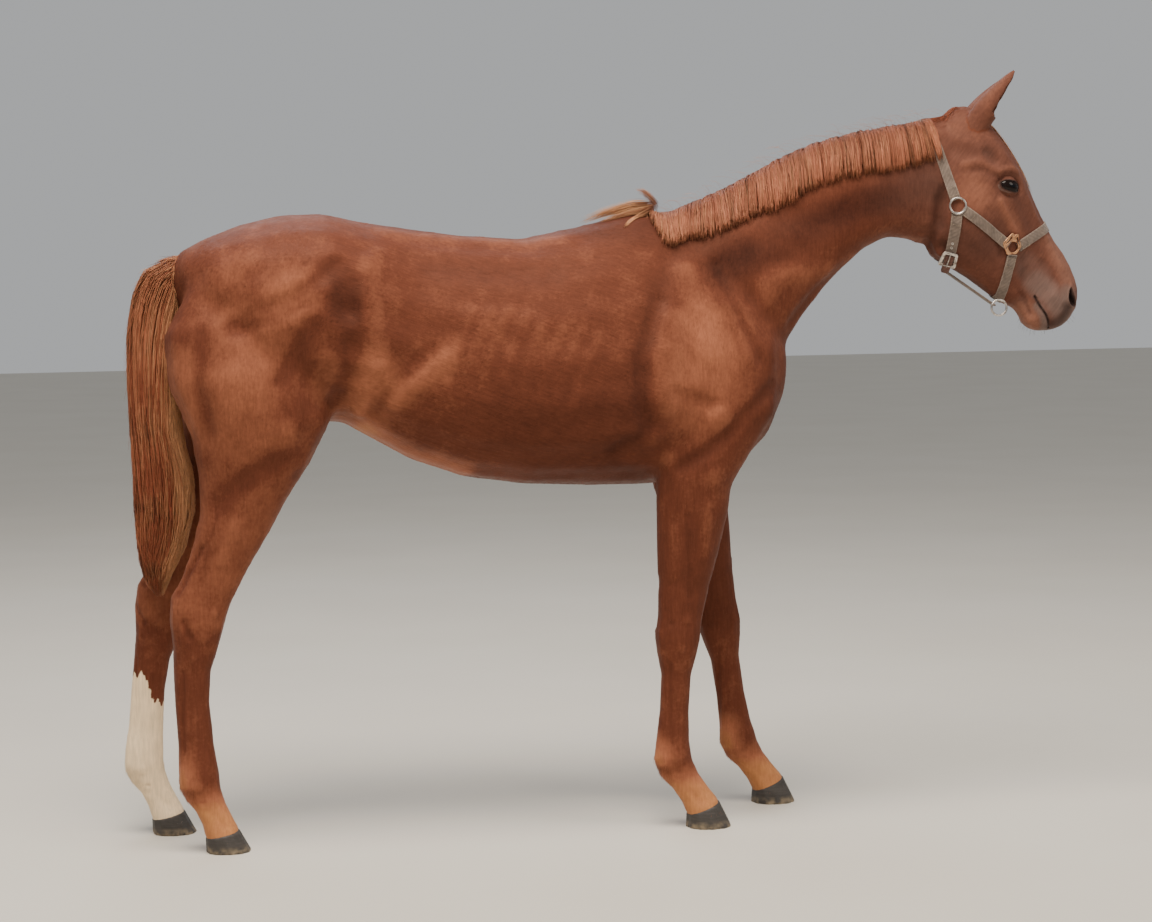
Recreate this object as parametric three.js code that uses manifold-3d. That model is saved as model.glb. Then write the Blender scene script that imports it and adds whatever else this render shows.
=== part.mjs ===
// A life-size young horse, standing, in its halter.
// Millimetres, +X towards the head, +Y to the horse's left, +Z up, with the floor at Z = 0.
// Each part of the body is a loft: rounded sections strung along a row of stations. The lofts are joined
// into one body, which is parted into its named nodes by thin cuts.
import * as THREE from "three";
import { mergeVertices } from "three/addons/utils/BufferGeometryUtils.js";
import Module from "manifold-3d";

const wasm = await Module();
wasm.setup();

// Driving dimensions
const GAP = 0.5; // between neighbouring nodes
const CUT = 0.8; // width of the cuts that part the body
const STRAP_WIDTH = 27;
const STRAP_THICK = 3.5;
const MANE_DEPTH = 13; // how far the mane stands off the neck
const FAR = 4000; // longer than the horse, for cutting blocks

// ---------------------------------------------------------------- lofts

const FIELDS = ["ax", "az", "bx", "bz", "y", "w", "taper", "full"];

// One section in the side view: a is its top or front point, b its bottom or back point. w is the half width,
// y the middle's place across the horse, taper widens the a end, and full is 2 for an ellipse and more for
// a boxier section.
function section(a, b, w, { y = 0, taper = 0, full = 2.2 } = {}) {
  return { ax: a[0], az: a[1], bx: b[0], bz: b[1], y, w, taper, full };
}

// The sections between the stated ones, on Catmull-Rom curves through every value.
function between(sections, count) {
  const last = sections.length - 1;
  return Array.from({ length: count + 1 }, (_, i) => {
    const at = (i / count) * last;
    const k = Math.min(Math.floor(at), last - 1);
    const t = at - k;
    const near = [k - 1, k, k + 1, k + 2].map(
      (j) => sections[Math.max(0, Math.min(last, j))],
    );
    return Object.fromEntries(
      FIELDS.map((f) => {
        const [p, q, r, s] = near.map((n) => n[f]);
        const slopeIn = (r - p) / 2;
        const slopeOut = (s - q) / 2;
        const value =
          q +
          t * slopeIn +
          t * t * (3 * (r - q) - 2 * slopeIn - slopeOut) +
          t * t * t * (2 * (q - r) + slopeIn + slopeOut);
        return [f, value];
      }),
    );
  });
}

const power = (x, n) => Math.sign(x) * Math.abs(x) ** (2 / n);

const centre = (s) => new THREE.Vector3((s.ax + s.bx) / 2, s.y, (s.az + s.bz) / 2);

// A closed solid through the sections, with flat ends. grow moves its surface outwards.
function loft(sections, { rings, sides, grow = 0 }) {
  const rows = between(sections, rings);
  const mids = rows.map(centre);
  const past = (end, inner) => end.clone().sub(inner).setLength(grow).add(end);
  const ends = [past(mids[0], mids[1]), past(mids[rings], mids[rings - 1])];
  mids[0] = ends[0];
  mids[rings] = ends[1];
  const points = rows.flatMap((s, i) => {
    const arm = new THREE.Vector3(s.ax - s.bx, 0, s.az - s.bz).divideScalar(2);
    arm.setLength(arm.length() + grow);
    return Array.from({ length: sides }, (_, j) => {
      const turn = (j / sides) * 2 * Math.PI;
      const along = power(Math.cos(turn), s.full);
      const halfWidth = s.w * (1 + s.taper * Math.cos(turn)) + grow;
      const point = mids[i].clone().addScaledVector(arm, along);
      point.y += power(Math.sin(turn), s.full) * halfWidth;
      return point;
    });
  });
  return closed(points, rings + 1, sides, ends);
}

// A manifold solid from rings of points and a point for each end, whichever way round they run.
function closed(points, ringCount, sides, ends) {
  const first = points.length;
  const vertices = [...points, ...ends];
  const faces = [];
  for (let i = 0; i < ringCount - 1; i++)
    for (let j = 0; j < sides; j++) {
      const k = (j + 1) % sides;
      const [a, b, c, d] = [
        i * sides + j,
        i * sides + k,
        (i + 1) * sides + k,
        (i + 1) * sides + j,
      ];
      faces.push([a, b, c], [a, c, d]);
    }
  for (let j = 0; j < sides; j++) {
    const k = (j + 1) % sides;
    const top = (ringCount - 1) * sides;
    faces.push([first, k, j], [first + 1, top + j, top + k]);
  }
  const geometry = new THREE.BufferGeometry()
    .setFromPoints(vertices)
    .setIndex(faces.flat());
  return solidOf(geometry);
}

// A three.js geometry as a manifold solid, facing out.
function solidOf(geometry) {
  const bare = geometry.clone();
  bare.deleteAttribute("normal");
  bare.deleteAttribute("uv");
  const merged = mergeVertices(bare, 1e-4);
  const vertProperties = new Float32Array(merged.attributes.position.array);
  const triVerts = new Uint32Array(merged.index.array);
  const build = () =>
    new wasm.Manifold(new wasm.Mesh({ numProp: 3, vertProperties, triVerts }));
  const made = build();
  if (made.volume() > 0) return made;
  for (let i = 0; i < triVerts.length; i += 3)
    [triVerts[i], triVerts[i + 1]] = [triVerts[i + 1], triVerts[i]];
  return build();
}

const joined = (solids) => solids.reduce((all, s) => all.add(s));

// ---------------------------------------------------------------- the body's stations

// Stations run from the buttocks to the breast: top of the back, bottom of the belly.
const TRUNK = [
  section([-1052, 1478], [-1030, 1390], 30),
  section([-1018, 1530], [-985, 1270], 118, { taper: 0.1 }),
  section([-958, 1562], [-905, 1160], 196, { taper: 0.05 }),
  section([-868, 1596], [-800, 1095], 240),
  section([-763, 1620], [-700, 1085], 254),
  section([-655, 1622], [-618, 1082], 256),
  section([-557, 1600], [-545, 1040], 246, { taper: -0.04 }),
  section([-440, 1582], [-440, 980], 234, { taper: -0.14 }),
  section([-300, 1562], [-300, 930], 250, { taper: -0.16 }),
  section([-139, 1551], [-139, 906], 260, { taper: -0.18 }),
  section([20, 1582], [20, 898], 254, { taper: -0.24, full: 2.1 }),
  section([150, 1614], [160, 896], 234, { taper: -0.34, full: 2.05 }),
  section([255, 1612], [300, 902], 212, { taper: -0.36, full: 2.05 }),
  section([400, 1520], [425, 934], 192, { taper: -0.2, full: 2.2 }),
  section([500, 1405], [505, 1015], 158, { full: 2.3 }),
  section([548, 1320], [548, 1110], 105),
  section([566, 1262], [564, 1180], 30),
];

// From inside the withers to the poll: crest and underline.
const NECK = [
  section([100, 1550], [400, 1060], 120),
  section([225, 1604], [520, 1180], 140, { taper: -0.32 }),
  section([317, 1634], [576, 1278], 132, { taper: -0.36 }),
  section([440, 1688], [642, 1368], 112, { taper: -0.4 }),
  section([556, 1750], [715, 1448], 96, { taper: -0.38 }),
  section([668, 1796], [785, 1508], 86, { taper: -0.34 }),
  section([790, 1824], [862, 1540], 80, { taper: -0.27 }),
  section([905, 1842], [938, 1530], 78, { taper: -0.18 }),
  section([985, 1856], [995, 1520], 74, { taper: -0.06 }),
  section([1040, 1856], [1050, 1560], 60),
  section([1075, 1810], [1085, 1650], 25),
];

// From the back of the skull to the lips: face and jaw.
const HEAD = [
  section([1010, 1858], [972, 1700], 40),
  section([1054, 1890], [952, 1580], 68, { taper: 0.05 }),
  section([1102, 1875], [960, 1512], 84, { taper: 0.12, full: 2.6 }),
  section([1142, 1830], [988, 1480], 93, { taper: 0.16, full: 2.9 }),
  section([1181, 1777], [1030, 1454], 97, { taper: 0.18, full: 3 }),
  section([1214, 1726], [1068, 1432], 91, { taper: 0.14, full: 3 }),
  section([1242, 1673], [1102, 1408], 78, { taper: 0.1, full: 2.8 }),
  section([1269, 1619], [1134, 1384], 66, { taper: 0.04, full: 2.6 }),
  section([1296, 1570], [1160, 1366], 57, { full: 2.5 }),
  section([1323, 1523], [1184, 1352], 50, { full: 2.4 }),
  section([1355, 1480], [1206, 1342], 49, { full: 2.3 }),
  section([1376, 1434], [1222, 1322], 53, { full: 2.3 }),
  section([1387, 1396], [1236, 1298], 55, { full: 2.4 }),
  section([1385, 1358], [1258, 1283], 50, { full: 2.4 }),
  section([1371, 1322], [1292, 1280], 38, { full: 2.3 }),
  section([1348, 1298], [1318, 1284], 20),
];

// A leg hangs from a row of joints. Each of its stations is stated as joint + share of the way to the next,
// with how far it reaches to the front and to the back of the line of the joints, and its half width.
function leg(joints, stations) {
  const line = joints.map(([x, y, z]) => new THREE.Vector3(x, y, z));
  const place = (at) => {
    const k = Math.min(Math.max(Math.floor(at), 0), line.length - 2);
    return line[k].clone().lerp(line[k + 1], at - k);
  };
  return stations.map(([at, front, back, w, { tip = 0, ...options } = {}]) => {
    const p = place(at);
    const along = place(at + JOINT_SOFTNESS).sub(place(at - JOINT_SOFTNESS));
    const ahead = new THREE.Vector2(-along.z, along.x)
      .normalize()
      .rotateAround(new THREE.Vector2(), (-tip * Math.PI) / 180);
    return section(
      [p.x + ahead.x * front, p.z + ahead.y * front],
      [p.x - ahead.x * back, p.z - ahead.y * back],
      w,
      { y: p.y, ...options },
    );
  });
}

const JOINT_SOFTNESS = 0.12; // how far along the bones a joint's bend is spread

// Joints: shoulder blade, point of the shoulder, elbow, knee, fetlock, coronet.
const FORE_JOINTS = {
  right: [
    [290, -96, 1500],
    [350, -138, 1190],
    [284, -146, 892],
    [239, -138, 505],
    [222, -136, 184],
    [300, -138, 52],
  ],
  left: [
    [290, 96, 1500],
    [352, 138, 1190],
    [334, 146, 892],
    [413, 134, 505],
    [462, 128, 176],
    [543, 130, 52],
  ],
};

// tip turns a section down at its front, in degrees.
const FORE_STATIONS = [
  [0, 40, 40, 20],
  [0.4, 125, 115, 60],
  [0.8, 174, 172, 72],
  [1.1, 184, 180, 76],
  [1.5, 150, 156, 72],
  [1.8, 102, 122, 66, { taper: 0.05 }],
  [2, 102, 101, 62, { taper: 0.08 }],
  [2.2, 97, 93, 57, { taper: 0.1 }],
  [2.45, 82, 80, 48, { taper: 0.08 }],
  [2.7, 67, 66, 41],
  [2.88, 59, 59, 41, { full: 2.5 }],
  [3, 59, 61, 46, { full: 2.7 }],
  [3.11, 54, 56, 43, { full: 2.6 }],
  [3.25, 41, 42, 33, { full: 2.4 }],
  [3.5, 37, 40, 28, { taper: 0.06, full: 2.4 }],
  [3.78, 39, 43, 28, { taper: 0.04, full: 2.4 }],
  [3.92, 46, 51, 34],
  [4.06, 48, 56, 37],
  [4.25, 40, 51, 33, { tip: 4 }],
  [4.5, 37, 42, 30, { tip: 6 }],
  [4.78, 41, 41, 36, { tip: 8 }],
  [5, 46, 46, 46, { tip: 10 }],
];

// Joints: hip, stifle, gaskin, hock, cannon, fetlock, coronet.
const HIND_JOINTS = {
  right: [
    [-890, -112, 1450],
    [-842, -140, 1120],
    [-900, -142, 868],
    [-1003, -132, 612],
    [-1026, -130, 420],
    [-1009, -130, 186],
    [-955, -134, 48],
  ],
  left: [
    [-890, 112, 1450],
    [-858, 140, 1120],
    [-956, 140, 868],
    [-1086, 130, 612],
    [-1126, 124, 425],
    [-1145, 122, 192],
    [-1085, 126, 50],
  ],
};

const HIND_STATIONS = [
  [0, 60, 120, 56],
  [0.3, 150, 196, 98],
  [0.65, 192, 212, 118],
  [1, 194, 194, 112, { taper: 0.06 }],
  [1.3, 166, 160, 98, { taper: 0.08 }],
  [1.65, 130, 122, 76, { taper: 0.08 }],
  [2, 102, 95, 62],
  [2.35, 84, 78, 52],
  [2.7, 70, 70, 43, { full: 2.4 }],
  [2.88, 70, 78, 43, { full: 2.6 }],
  [3, 71, 78, 46, { full: 2.7 }],
  [3.3, 64, 60, 45, { full: 2.6 }],
  [3.6, 52, 51, 37, { full: 2.4 }],
  [3.85, 45, 46, 31, { full: 2.4 }],
  [4.3, 43, 45, 28, { full: 2.4 }],
  [4.7, 46, 47, 30],
  [4.9, 50, 53, 36],
  [5.06, 49, 57, 38],
  [5.28, 40, 51, 34, { tip: 4 }],
  [5.52, 37, 41, 31, { tip: 8 }],
  [5.78, 40, 40, 36, { tip: 10 }],
  [6, 43, 45, 45, { tip: 10 }],
];

const SIDES = { left: 1, right: -1 };

const neckAndHead = (grow) =>
  loft(NECK, { rings: 12, sides: 16, grow }).add(
    loft(HEAD, { rings: 20, sides: 16, grow }),
  );
const trunk = (grow) => loft(TRUNK, { rings: 16, sides: 20, grow });
const foreLeg = (side, grow) =>
  loft(leg(FORE_JOINTS[side], FORE_STATIONS), { rings: 19, sides: 12, grow });
const hindLeg = (side, grow) =>
  loft(leg(HIND_JOINTS[side], HIND_STATIONS), { rings: 20, sides: 12, grow });

// The horse's flesh in one piece, without its ears. grow gives a fatter one, to lay hair and straps on.
function flesh(grow = 0) {
  const legs = Object.keys(SIDES).flatMap((side) => [
    foreLeg(side, grow),
    hindLeg(side, grow),
  ]);
  return joined([trunk(grow), neckAndHead(grow), ...legs]);
}

// ---------------------------------------------------------------- cutting tools

// A block with an outline in the side view, from y0 to y1.
function sideBlock(outline, y0 = -FAR, y1 = FAR) {
  const shape = new THREE.Shape(outline.map(([x, z]) => new THREE.Vector2(x, z)));
  const geometry = new THREE.ExtrudeGeometry(shape, {
    depth: y1 - y0,
    bevelEnabled: false,
  });
  return solidOf(geometry.rotateX(Math.PI / 2).translate(0, y1, 0));
}

// The outline in the side view of a strip of one width along a line from p to q.
function strip(p, q, width) {
  const from = new THREE.Vector2(...p);
  const to = new THREE.Vector2(...q);
  const out = to.clone().sub(from).setLength(width / 2);
  const [dx, dz] = [-out.y, out.x];
  return [
    [p[0] + dx, p[1] + dz],
    [q[0] + dx, q[1] + dz],
    [q[0] - dx, q[1] - dz],
    [p[0] - dx, p[1] - dz],
  ];
}

// A thin plate that parts a limb at one of its joints.
function jointPlate(joints, k, y0, y1) {
  const at = new THREE.Vector2(joints[k][0], joints[k][2]);
  const before = new THREE.Vector2(joints[k - 1][0], joints[k - 1][2]);
  const after = new THREE.Vector2(joints[k + 1][0], joints[k + 1][2]);
  const along = after.sub(before).setLength(LIMB_REACH);
  return sideBlock(
    strip(
      [at.x - along.y, at.y + along.x],
      [at.x + along.y, at.y - along.x],
      CUT,
    ),
    y0,
    y1,
  );
}

const LIMB_REACH = 110; // past the sides of a leg at its joints

// Where the head, the neck and the legs are parted from what they grow from, in the side view.
const CUT_LINES = [
  [
    [1008, 1990],
    [942, 1430],
  ],
  [
    [110, 1742],
    [640, 1186],
  ],
  [
    [90, 880],
    [560, 880],
  ],
  [
    [-590, 1030],
    [-1160, 1144],
  ],
];

// The plates that part the flesh into its nodes.
function plates() {
  const list = CUT_LINES.map(([p, q]) => sideBlock(strip(p, q, CUT)));
  for (const [side, sign] of Object.entries(SIDES)) {
    const across = sign > 0 ? [0, FAR] : [-FAR, 0];
    for (const k of [3, 4])
      list.push(jointPlate(FORE_JOINTS[side], k, ...across));
    for (const k of [3, 5])
      list.push(jointPlate(HIND_JOINTS[side], k, ...across));
  }
  return joined(list);
}

// ---------------------------------------------------------------- nodes

const root = new THREE.Group();
const horse = new THREE.Group();
root.add(horse);

const look = (color, roughness, metalness = 0) =>
  new THREE.MeshStandardMaterial({ color, roughness, metalness });
const MATERIALS = {
  coat: look(0x8a4a2c, 0.6),
  sock: look(0xcdb9a6, 0.7),
  hoof: look(0x35312d, 0.55),
  eye: look(0x1a1210, 0.1),
  mane: look(0xb9714a, 0.6),
  tail: look(0xa06a40, 0.6),
  forelock: look(0xc9955c, 0.6),
  webbing: look(0x6f6258, 0.8),
  brass: look(0xb08d6a, 0.35, 1),
  steel: look(0x9a9a98, 0.3, 1),
};

function addNode(name, solid, material) {
  const mesh = solid.getMesh();
  const geometry = new THREE.BufferGeometry()
    .setAttribute("position", new THREE.BufferAttribute(mesh.vertProperties, 3))
    .setIndex(new THREE.BufferAttribute(mesh.triVerts, 1));
  const made = new THREE.Mesh(geometry, material);
  made.name = name;
  horse.add(made);
}

// The largest of a solid's separate pieces.
const main = (solid) =>
  solid.decompose().reduce((a, b) => (b.volume() > a.volume() ? b : a));

// The piece of a parted solid whose middle is nearest a place.
function pieceAt(pieces, place) {
  const distance = (piece) => {
    const { min, max } = piece.boundingBox();
    const box = new THREE.Box3(new THREE.Vector3(...min), new THREE.Vector3(...max));
    return box.getCenter(new THREE.Vector3()).distanceTo(new THREE.Vector3(...place));
  };
  return pieces.reduce((a, b) => (distance(b) < distance(a) ? b : a));
}

const body = flesh();

// How far out the flesh reaches on one side at a place in the side view.
function surface(x, z, sign) {
  const column = sideBlock(
    [
      [x - 1, z - 1],
      [x + 1, z - 1],
      [x + 1, z + 1],
      [x - 1, z + 1],
    ],
    ...(sign > 0 ? [0, FAR] : [-FAR, 0]),
  );
  const { min, max } = body.intersect(column).boundingBox();
  return sign > 0 ? max[1] : min[1];
}

// Turns a geometry made flat in the side view about its own middle to lie on the side of the head there.
function laid(geometry, [x, z], sign, lift) {
  const step = 12;
  const y = surface(x, z, sign);
  const alongX = (surface(x + step, z, sign) - surface(x - step, z, sign)) / (2 * step);
  const alongZ = (surface(x, z + step, sign) - surface(x, z - step, sign)) / (2 * step);
  const out = new THREE.Vector3(-alongX, 1, -alongZ).normalize();
  const turn = new THREE.Quaternion().setFromUnitVectors(
    new THREE.Vector3(0, 1, 0),
    out,
  );
  return geometry
    .applyQuaternion(turn)
    .translate(x, y + sign * lift, z);
}

// Flesh

const EYE_RADIUS = 24;
const EYE_OUT = 9; // how far the eyeball stands out of the side of the head
const EYE_PLACE = [1171, 1676];

const eyeBall = (sign, radius) =>
  solidOf(
    new THREE.SphereGeometry(radius, 10, 7)
      .rotateX(Math.PI / 2)
      .translate(
        EYE_PLACE[0],
        surface(...EYE_PLACE, sign) - sign * (EYE_RADIUS - EYE_OUT),
        EYE_PLACE[1],
      ),
  );

// An ear built upright with its opening to +X: an outer loft less a hollow that runs out at the front.
function earSolid() {
  const level = (z, front, back, w) => section([front, z], [-back, z], w);
  const outer = loft(
    [
      level(-22, 24, 26, 20),
      level(8, 34, 35, 28),
      level(45, 34, 36, 32),
      level(85, 28, 28, 29),
      level(120, 22, 18, 21),
      level(148, 16, 9, 12),
      level(168, 10, -1, 3),
    ],
    { rings: 7, sides: 10 },
  );
  const hollow = loft(
    [
      level(24, 6, 4, 6),
      level(50, 50, 29, 26),
      level(85, 48, 23, 24),
      level(120, 42, 13, 16),
      level(148, 34, 4, 8),
      level(174, 30, -6, 3),
    ],
    { rings: 5, sides: 8 },
  );
  return main(outer.subtract(hollow));
}

// Each ear's root and the angles, in degrees, at which it leans forward, splays out and turns outward.
const EARS = {
  right: { place: [1091, 1838], out: 52, lean: 33, splay: 10, turn: 24 },
  left: { place: [1102, 1834], out: 52, lean: 38, splay: 10, turn: 24 },
};

function ear(side) {
  const { place, out, lean, splay, turn } = EARS[side];
  const sign = SIDES[side];
  const solid = earSolid();
  return solid
    .rotate([0, 0, sign * turn])
    .rotate([0, lean, 0])
    .rotate([-sign * splay, 0, 0])
    .translate([place[0], sign * out, place[1]]);
}

const HOOF_FLARE = 3; // how far a hoof's wall bellies out between its ends

// A hoof widens from the coronet, where the leg's last section meets it, to a flat sole.
function hoof(coronet, { length, width, reach }) {
  const { ax, az, bx, bz, y, w } = coronet;
  const toe = (ax + bx) / 2 + reach;
  const at = (share, flare) =>
    section(
      [ax + share * (toe - ax), az - GAP - share * (az - GAP)],
      [bx + share * (toe - length - bx), bz - GAP - share * (bz - GAP)],
      w + share * (width - w) + flare,
      { y },
    );
  const levels = [at(0, 0), at(0.1, HOOF_FLARE), at(0.55, HOOF_FLARE), at(1, 0)];
  return loft(levels, { rings: 4, sides: 12 });
}

const HOOF = {
  fore: { length: 122, width: 59, reach: 76 },
  hind: { length: 116, width: 54, reach: 74 },
};

function addFlesh() {
  const parted = body
    .subtract(joined([eyeBall(1, EYE_RADIUS + GAP), eyeBall(-1, EYE_RADIUS + GAP)]))
    .subtract(plates())
    .decompose();
  addNode("trunk", pieceAt(parted, [-250, 0, 1250]), MATERIALS.coat);
  addNode("neck", pieceAt(parted, [600, 0, 1600]), MATERIALS.coat);
  addNode("head", pieceAt(parted, [1180, 0, 1600]), MATERIALS.coat);
  const pieces = [
    ["upper", 0],
    ["cannon", 1],
    ["pastern", 2],
  ];
  for (const side of Object.keys(SIDES)) {
    for (const [limb, joints, ends] of [
      ["fore", FORE_JOINTS[side], [2, 3, 4, 5]],
      ["hind", HIND_JOINTS[side], [1, 3, 5, 6]],
    ])
      for (const [piece, k] of pieces) {
        const [a, b] = [joints[ends[k]], joints[ends[k + 1]]];
        const middle = a.map((v, i) => (v + b[i]) / 2);
        addNode(
          `leg_${limb}_${side}_${piece}`,
          pieceAt(parted, middle),
          limb === "hind" && side === "left" && piece !== "upper"
            ? MATERIALS.sock
            : MATERIALS.coat,
        );
      }
    for (const [limb, joints, stations] of [
      ["fore", FORE_JOINTS[side], FORE_STATIONS],
      ["hind", HIND_JOINTS[side], HIND_STATIONS],
    ]) {
      const coronet = leg(joints, stations).at(-1);
      const solid = hoof(coronet, HOOF[limb]).subtract(spread);
      addNode(`hoof_${limb}_${side}`, main(solid), MATERIALS.hoof);
    }
    addNode(`ear_${side}`, main(ear(side).subtract(spread)), MATERIALS.coat);
    addNode(`eye_${side}`, eyeBall(SIDES[side], EYE_RADIUS), MATERIALS.eye);
  }
}

const spread = flesh(2 * GAP);

// ---------------------------------------------------------------- hair

// The mane lies on the right of the neck, from behind the poll to the withers.
const MANE_EDGE = [
  [975, 1900],
  [968, 1742],
  [917, 1722],
  [835, 1710],
  [753, 1698],
  [698, 1688],
  [644, 1665],
  [589, 1632],
  [535, 1609],
  [481, 1589],
  [427, 1568],
  [373, 1548],
  [320, 1534],
  [266, 1524],
  [234, 1532],
  [224, 1600],
  [100, 1598],
  [8, 1576],
  [8, 1900],
];
const MANE_OVER = 14; // how far it crosses the crest

function addMane() {
  const fat = trunk(MANE_DEPTH).add(neckAndHead(MANE_DEPTH));
  const hair = fat.subtract(spread).intersect(sideBlock(MANE_EDGE, -FAR, MANE_OVER));
  addNode("mane", main(hair.subtract(crownPlace())), MATERIALS.mane);
}

// The forelock is a narrow strip down the middle of the forehead.
const FORELOCK_DEPTH = 11;
const FORELOCK_BACK = 1095; // ahead of the poll
const FORELOCK_REACH = 300;

function addForelock() {
  const shape = new THREE.Shape(
    [
      [-30, 1872],
      [30, 1872],
      [24, 1800],
      [12, 1700],
      [4, 1640],
      [-4, 1640],
      [-12, 1700],
      [-24, 1800],
    ].map(([y, z]) => new THREE.Vector2(y, z)),
  );
  const geometry = new THREE.ExtrudeGeometry(shape, {
    depth: FORELOCK_REACH,
    bevelEnabled: false,
  });
  // from the plane of x and y to that of y and z
  geometry.applyMatrix4(
    new THREE.Matrix4().makeBasis(
      new THREE.Vector3(0, 1, 0),
      new THREE.Vector3(0, 0, 1),
      new THREE.Vector3(1, 0, 0),
    ),
  );
  const column = solidOf(geometry.translate(FORELOCK_BACK, 0, 0));
  const ears = joined(Object.keys(SIDES).map((side) => ear(side)));
  const hair = neckAndHead(FORELOCK_DEPTH).subtract(spread).intersect(column).subtract(ears);
  addNode("forelock", main(hair), MATERIALS.forelock);
}

// The tail hangs from the dock: rear edge and front edge.
const TAIL = [
  section([-1010, 1524], [-990, 1470], 20),
  section([-1062, 1514], [-990, 1440], 36),
  section([-1112, 1484], [-1000, 1400], 46),
  section([-1145, 1420], [-1010, 1340], 52),
  section([-1161, 1320], [-1020, 1270], 56),
  section([-1163, 1200], [-1030, 1180], 60),
  section([-1159, 1080], [-1028, 1070], 62),
  section([-1154, 960], [-1000, 960], 58),
  section([-1152, 850], [-1000, 860], 48),
  section([-1146, 750], [-1026, 770], 32),
  section([-1128, 680], [-1062, 700], 18),
  section([-1100, 640], [-1086, 644], 6),
];

function addTail() {
  const hair = loft(TAIL, { rings: 11, sides: 12 }).subtract(spread);
  addNode("tail", main(hair), MATERIALS.tail);
}

// ---------------------------------------------------------------- halter

const UPPER_RING = [1024, 1619];
const NOSE_RING = [1184, 1500];
const CHIN = [1156, 1352]; // where the chin strap passes under the jaw
const THROAT = [1008, 1430]; // and where the throat strap does
const NOSE = [1296, 1562]; // and where the noseband crosses the nose
const POLL = [958, 1900];
const CHIN_RING = [1153, 1346];
const BUCKLE = [1014, 1500]; // where the buckle's top rests on the side of the jaw
const RING_RADIUS = 21; // to the middle of the wire
const RING_WIRE = 3;
const BUCKLE_SIZE = { wide: 41, high: 48, bar: 6, top: 0.83 }; // top: its width there, as a share
const BUCKLE_THICK = 5;
const BUCKLE_DROP = 29; // from there down to the buckle's middle
const BUCKLE_TILT = 0.12; // radians
const LOOP = { width: 18, above: 9, below: 7, out: 5 }; // the chin strap's end, round its ring
const JAW_DROP = 4; // how far the jaw strap passes below the chin strap
const BUCKLE_LIFT = 2 * GAP + STRAP_THICK + BUCKLE_THICK / 2; // of its middle, off the flesh
const TONGUE = { width: 24, length: 76 }; // the strap's free end, through the buckle

// The nose pieces have a round hole for the chin strap and a slot for each of the other two straps.
const NOSE_PIECE = [
  [-17, -19],
  [10, -19],
  [24, -1],
  [13, 34],
  [7, 33],
  [3, 29],
  [-1, 36],
  [-5, 36],
  [-30, 12],
];
const NOSE_HOLE = 13;
const NOSE_SLOTS = [
  [
    [-22, 11],
    [-18, 7],
    [-2, 24],
    [-6, 29],
  ],
  [
    [7, 24],
    [12, 29],
    [20, 6],
    [17, 2],
  ],
];

const planar = (points) => points.map(([x, z]) => new THREE.Vector2(x, z));

// A flat plate in the side view, about its own middle.
function plate(shape, thick) {
  return new THREE.ExtrudeGeometry(shape, {
    depth: thick,
    bevelEnabled: false,
    curveSegments: 6,
  })
    .rotateX(Math.PI / 2)
    .translate(0, thick / 2, 0);
}

function nosePiece() {
  const shape = new THREE.Shape(planar(NOSE_PIECE));
  shape.holes.push(new THREE.Path().absarc(0, 0, NOSE_HOLE, 0, 2 * Math.PI));
  shape.holes.push(...NOSE_SLOTS.map((slot) => new THREE.Path(planar(slot))));
  return plate(shape, 2 * RING_WIRE);
}

// What lies between the head and neck grown by `inner` and by `outer`.
const shell = (inner, outer) => neckAndHead(outer).subtract(neckAndHead(inner));
const strapLayer = shell(GAP, GAP + STRAP_THICK);

const beyond = (p, q, by) => {
  const from = new THREE.Vector2(...p);
  const out = new THREE.Vector2(...q).sub(from);
  return from.addScaledVector(out, 1 + by / out.length()).toArray();
};

// The room round the ring and the nose piece on each side of the head, which the straps stop at.
const ROOM_DEPTH = 60;
const ROOM_SCALE = 1.06;
const ringPlaces = joined(
  Object.values(SIDES).flatMap((sign) => {
    const radius = RING_RADIUS + RING_WIRE + 4 * GAP;
    const disc = new THREE.CylinderGeometry(radius, radius, ROOM_DEPTH, 16);
    const piece = plate(new THREE.Shape(planar(NOSE_PIECE)), ROOM_DEPTH);
    piece.scale(ROOM_SCALE, 1, ROOM_SCALE);
    return [
      solidOf(laid(disc, UPPER_RING, sign, 0)),
      solidOf(laid(piece, NOSE_RING, sign, 0)),
    ];
  }),
);

// The straps that cross from one side of the head to the other, each past the edge of the head.
const PAST = 80;
const CROWN = [UPPER_RING, POLL];
const THROATLATCH = [UPPER_RING, beyond(UPPER_RING, THROAT, PAST)];
const NOSEBAND = [NOSE_RING, beyond(NOSE_RING, NOSE, PAST)];
const CHINBAND = [NOSE_RING, beyond(NOSE_RING, CHIN, PAST)];

const room = ([p, q], gap = GAP) => sideBlock(strip(p, q, STRAP_WIDTH + 2 * gap));
const strap = (ends) => main(strapLayer.intersect(room(ends, 0)).subtract(ringPlaces));

// A cheek strap ends where the crossing straps lie.
function cheekStrap(sign) {
  const across = sign > 0 ? [0, FAR] : [-FAR, 0];
  const place = sideBlock(strip(UPPER_RING, NOSE_RING, STRAP_WIDTH), ...across);
  const others = joined([ringPlaces, ...[THROATLATCH, NOSEBAND, CHINBAND].map((s) => room(s))]);
  return main(strapLayer.intersect(place).subtract(others));
}

// The room that the crown strap takes, with a gap round it.
const crownPlace = () => neckAndHead(3 * GAP + STRAP_THICK).intersect(room(CROWN));

const ring = (wire) =>
  new THREE.TorusGeometry(RING_RADIUS, wire, 5, 11).rotateX(Math.PI / 2);

// Lays a geometry made about the buckle's middle where the buckle hangs from the side of the jaw.
const atBuckle = (geometry, lift) =>
  laid(geometry.rotateY(BUCKLE_TILT).translate(0, 0, -BUCKLE_DROP), BUCKLE, -1, lift);

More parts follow.
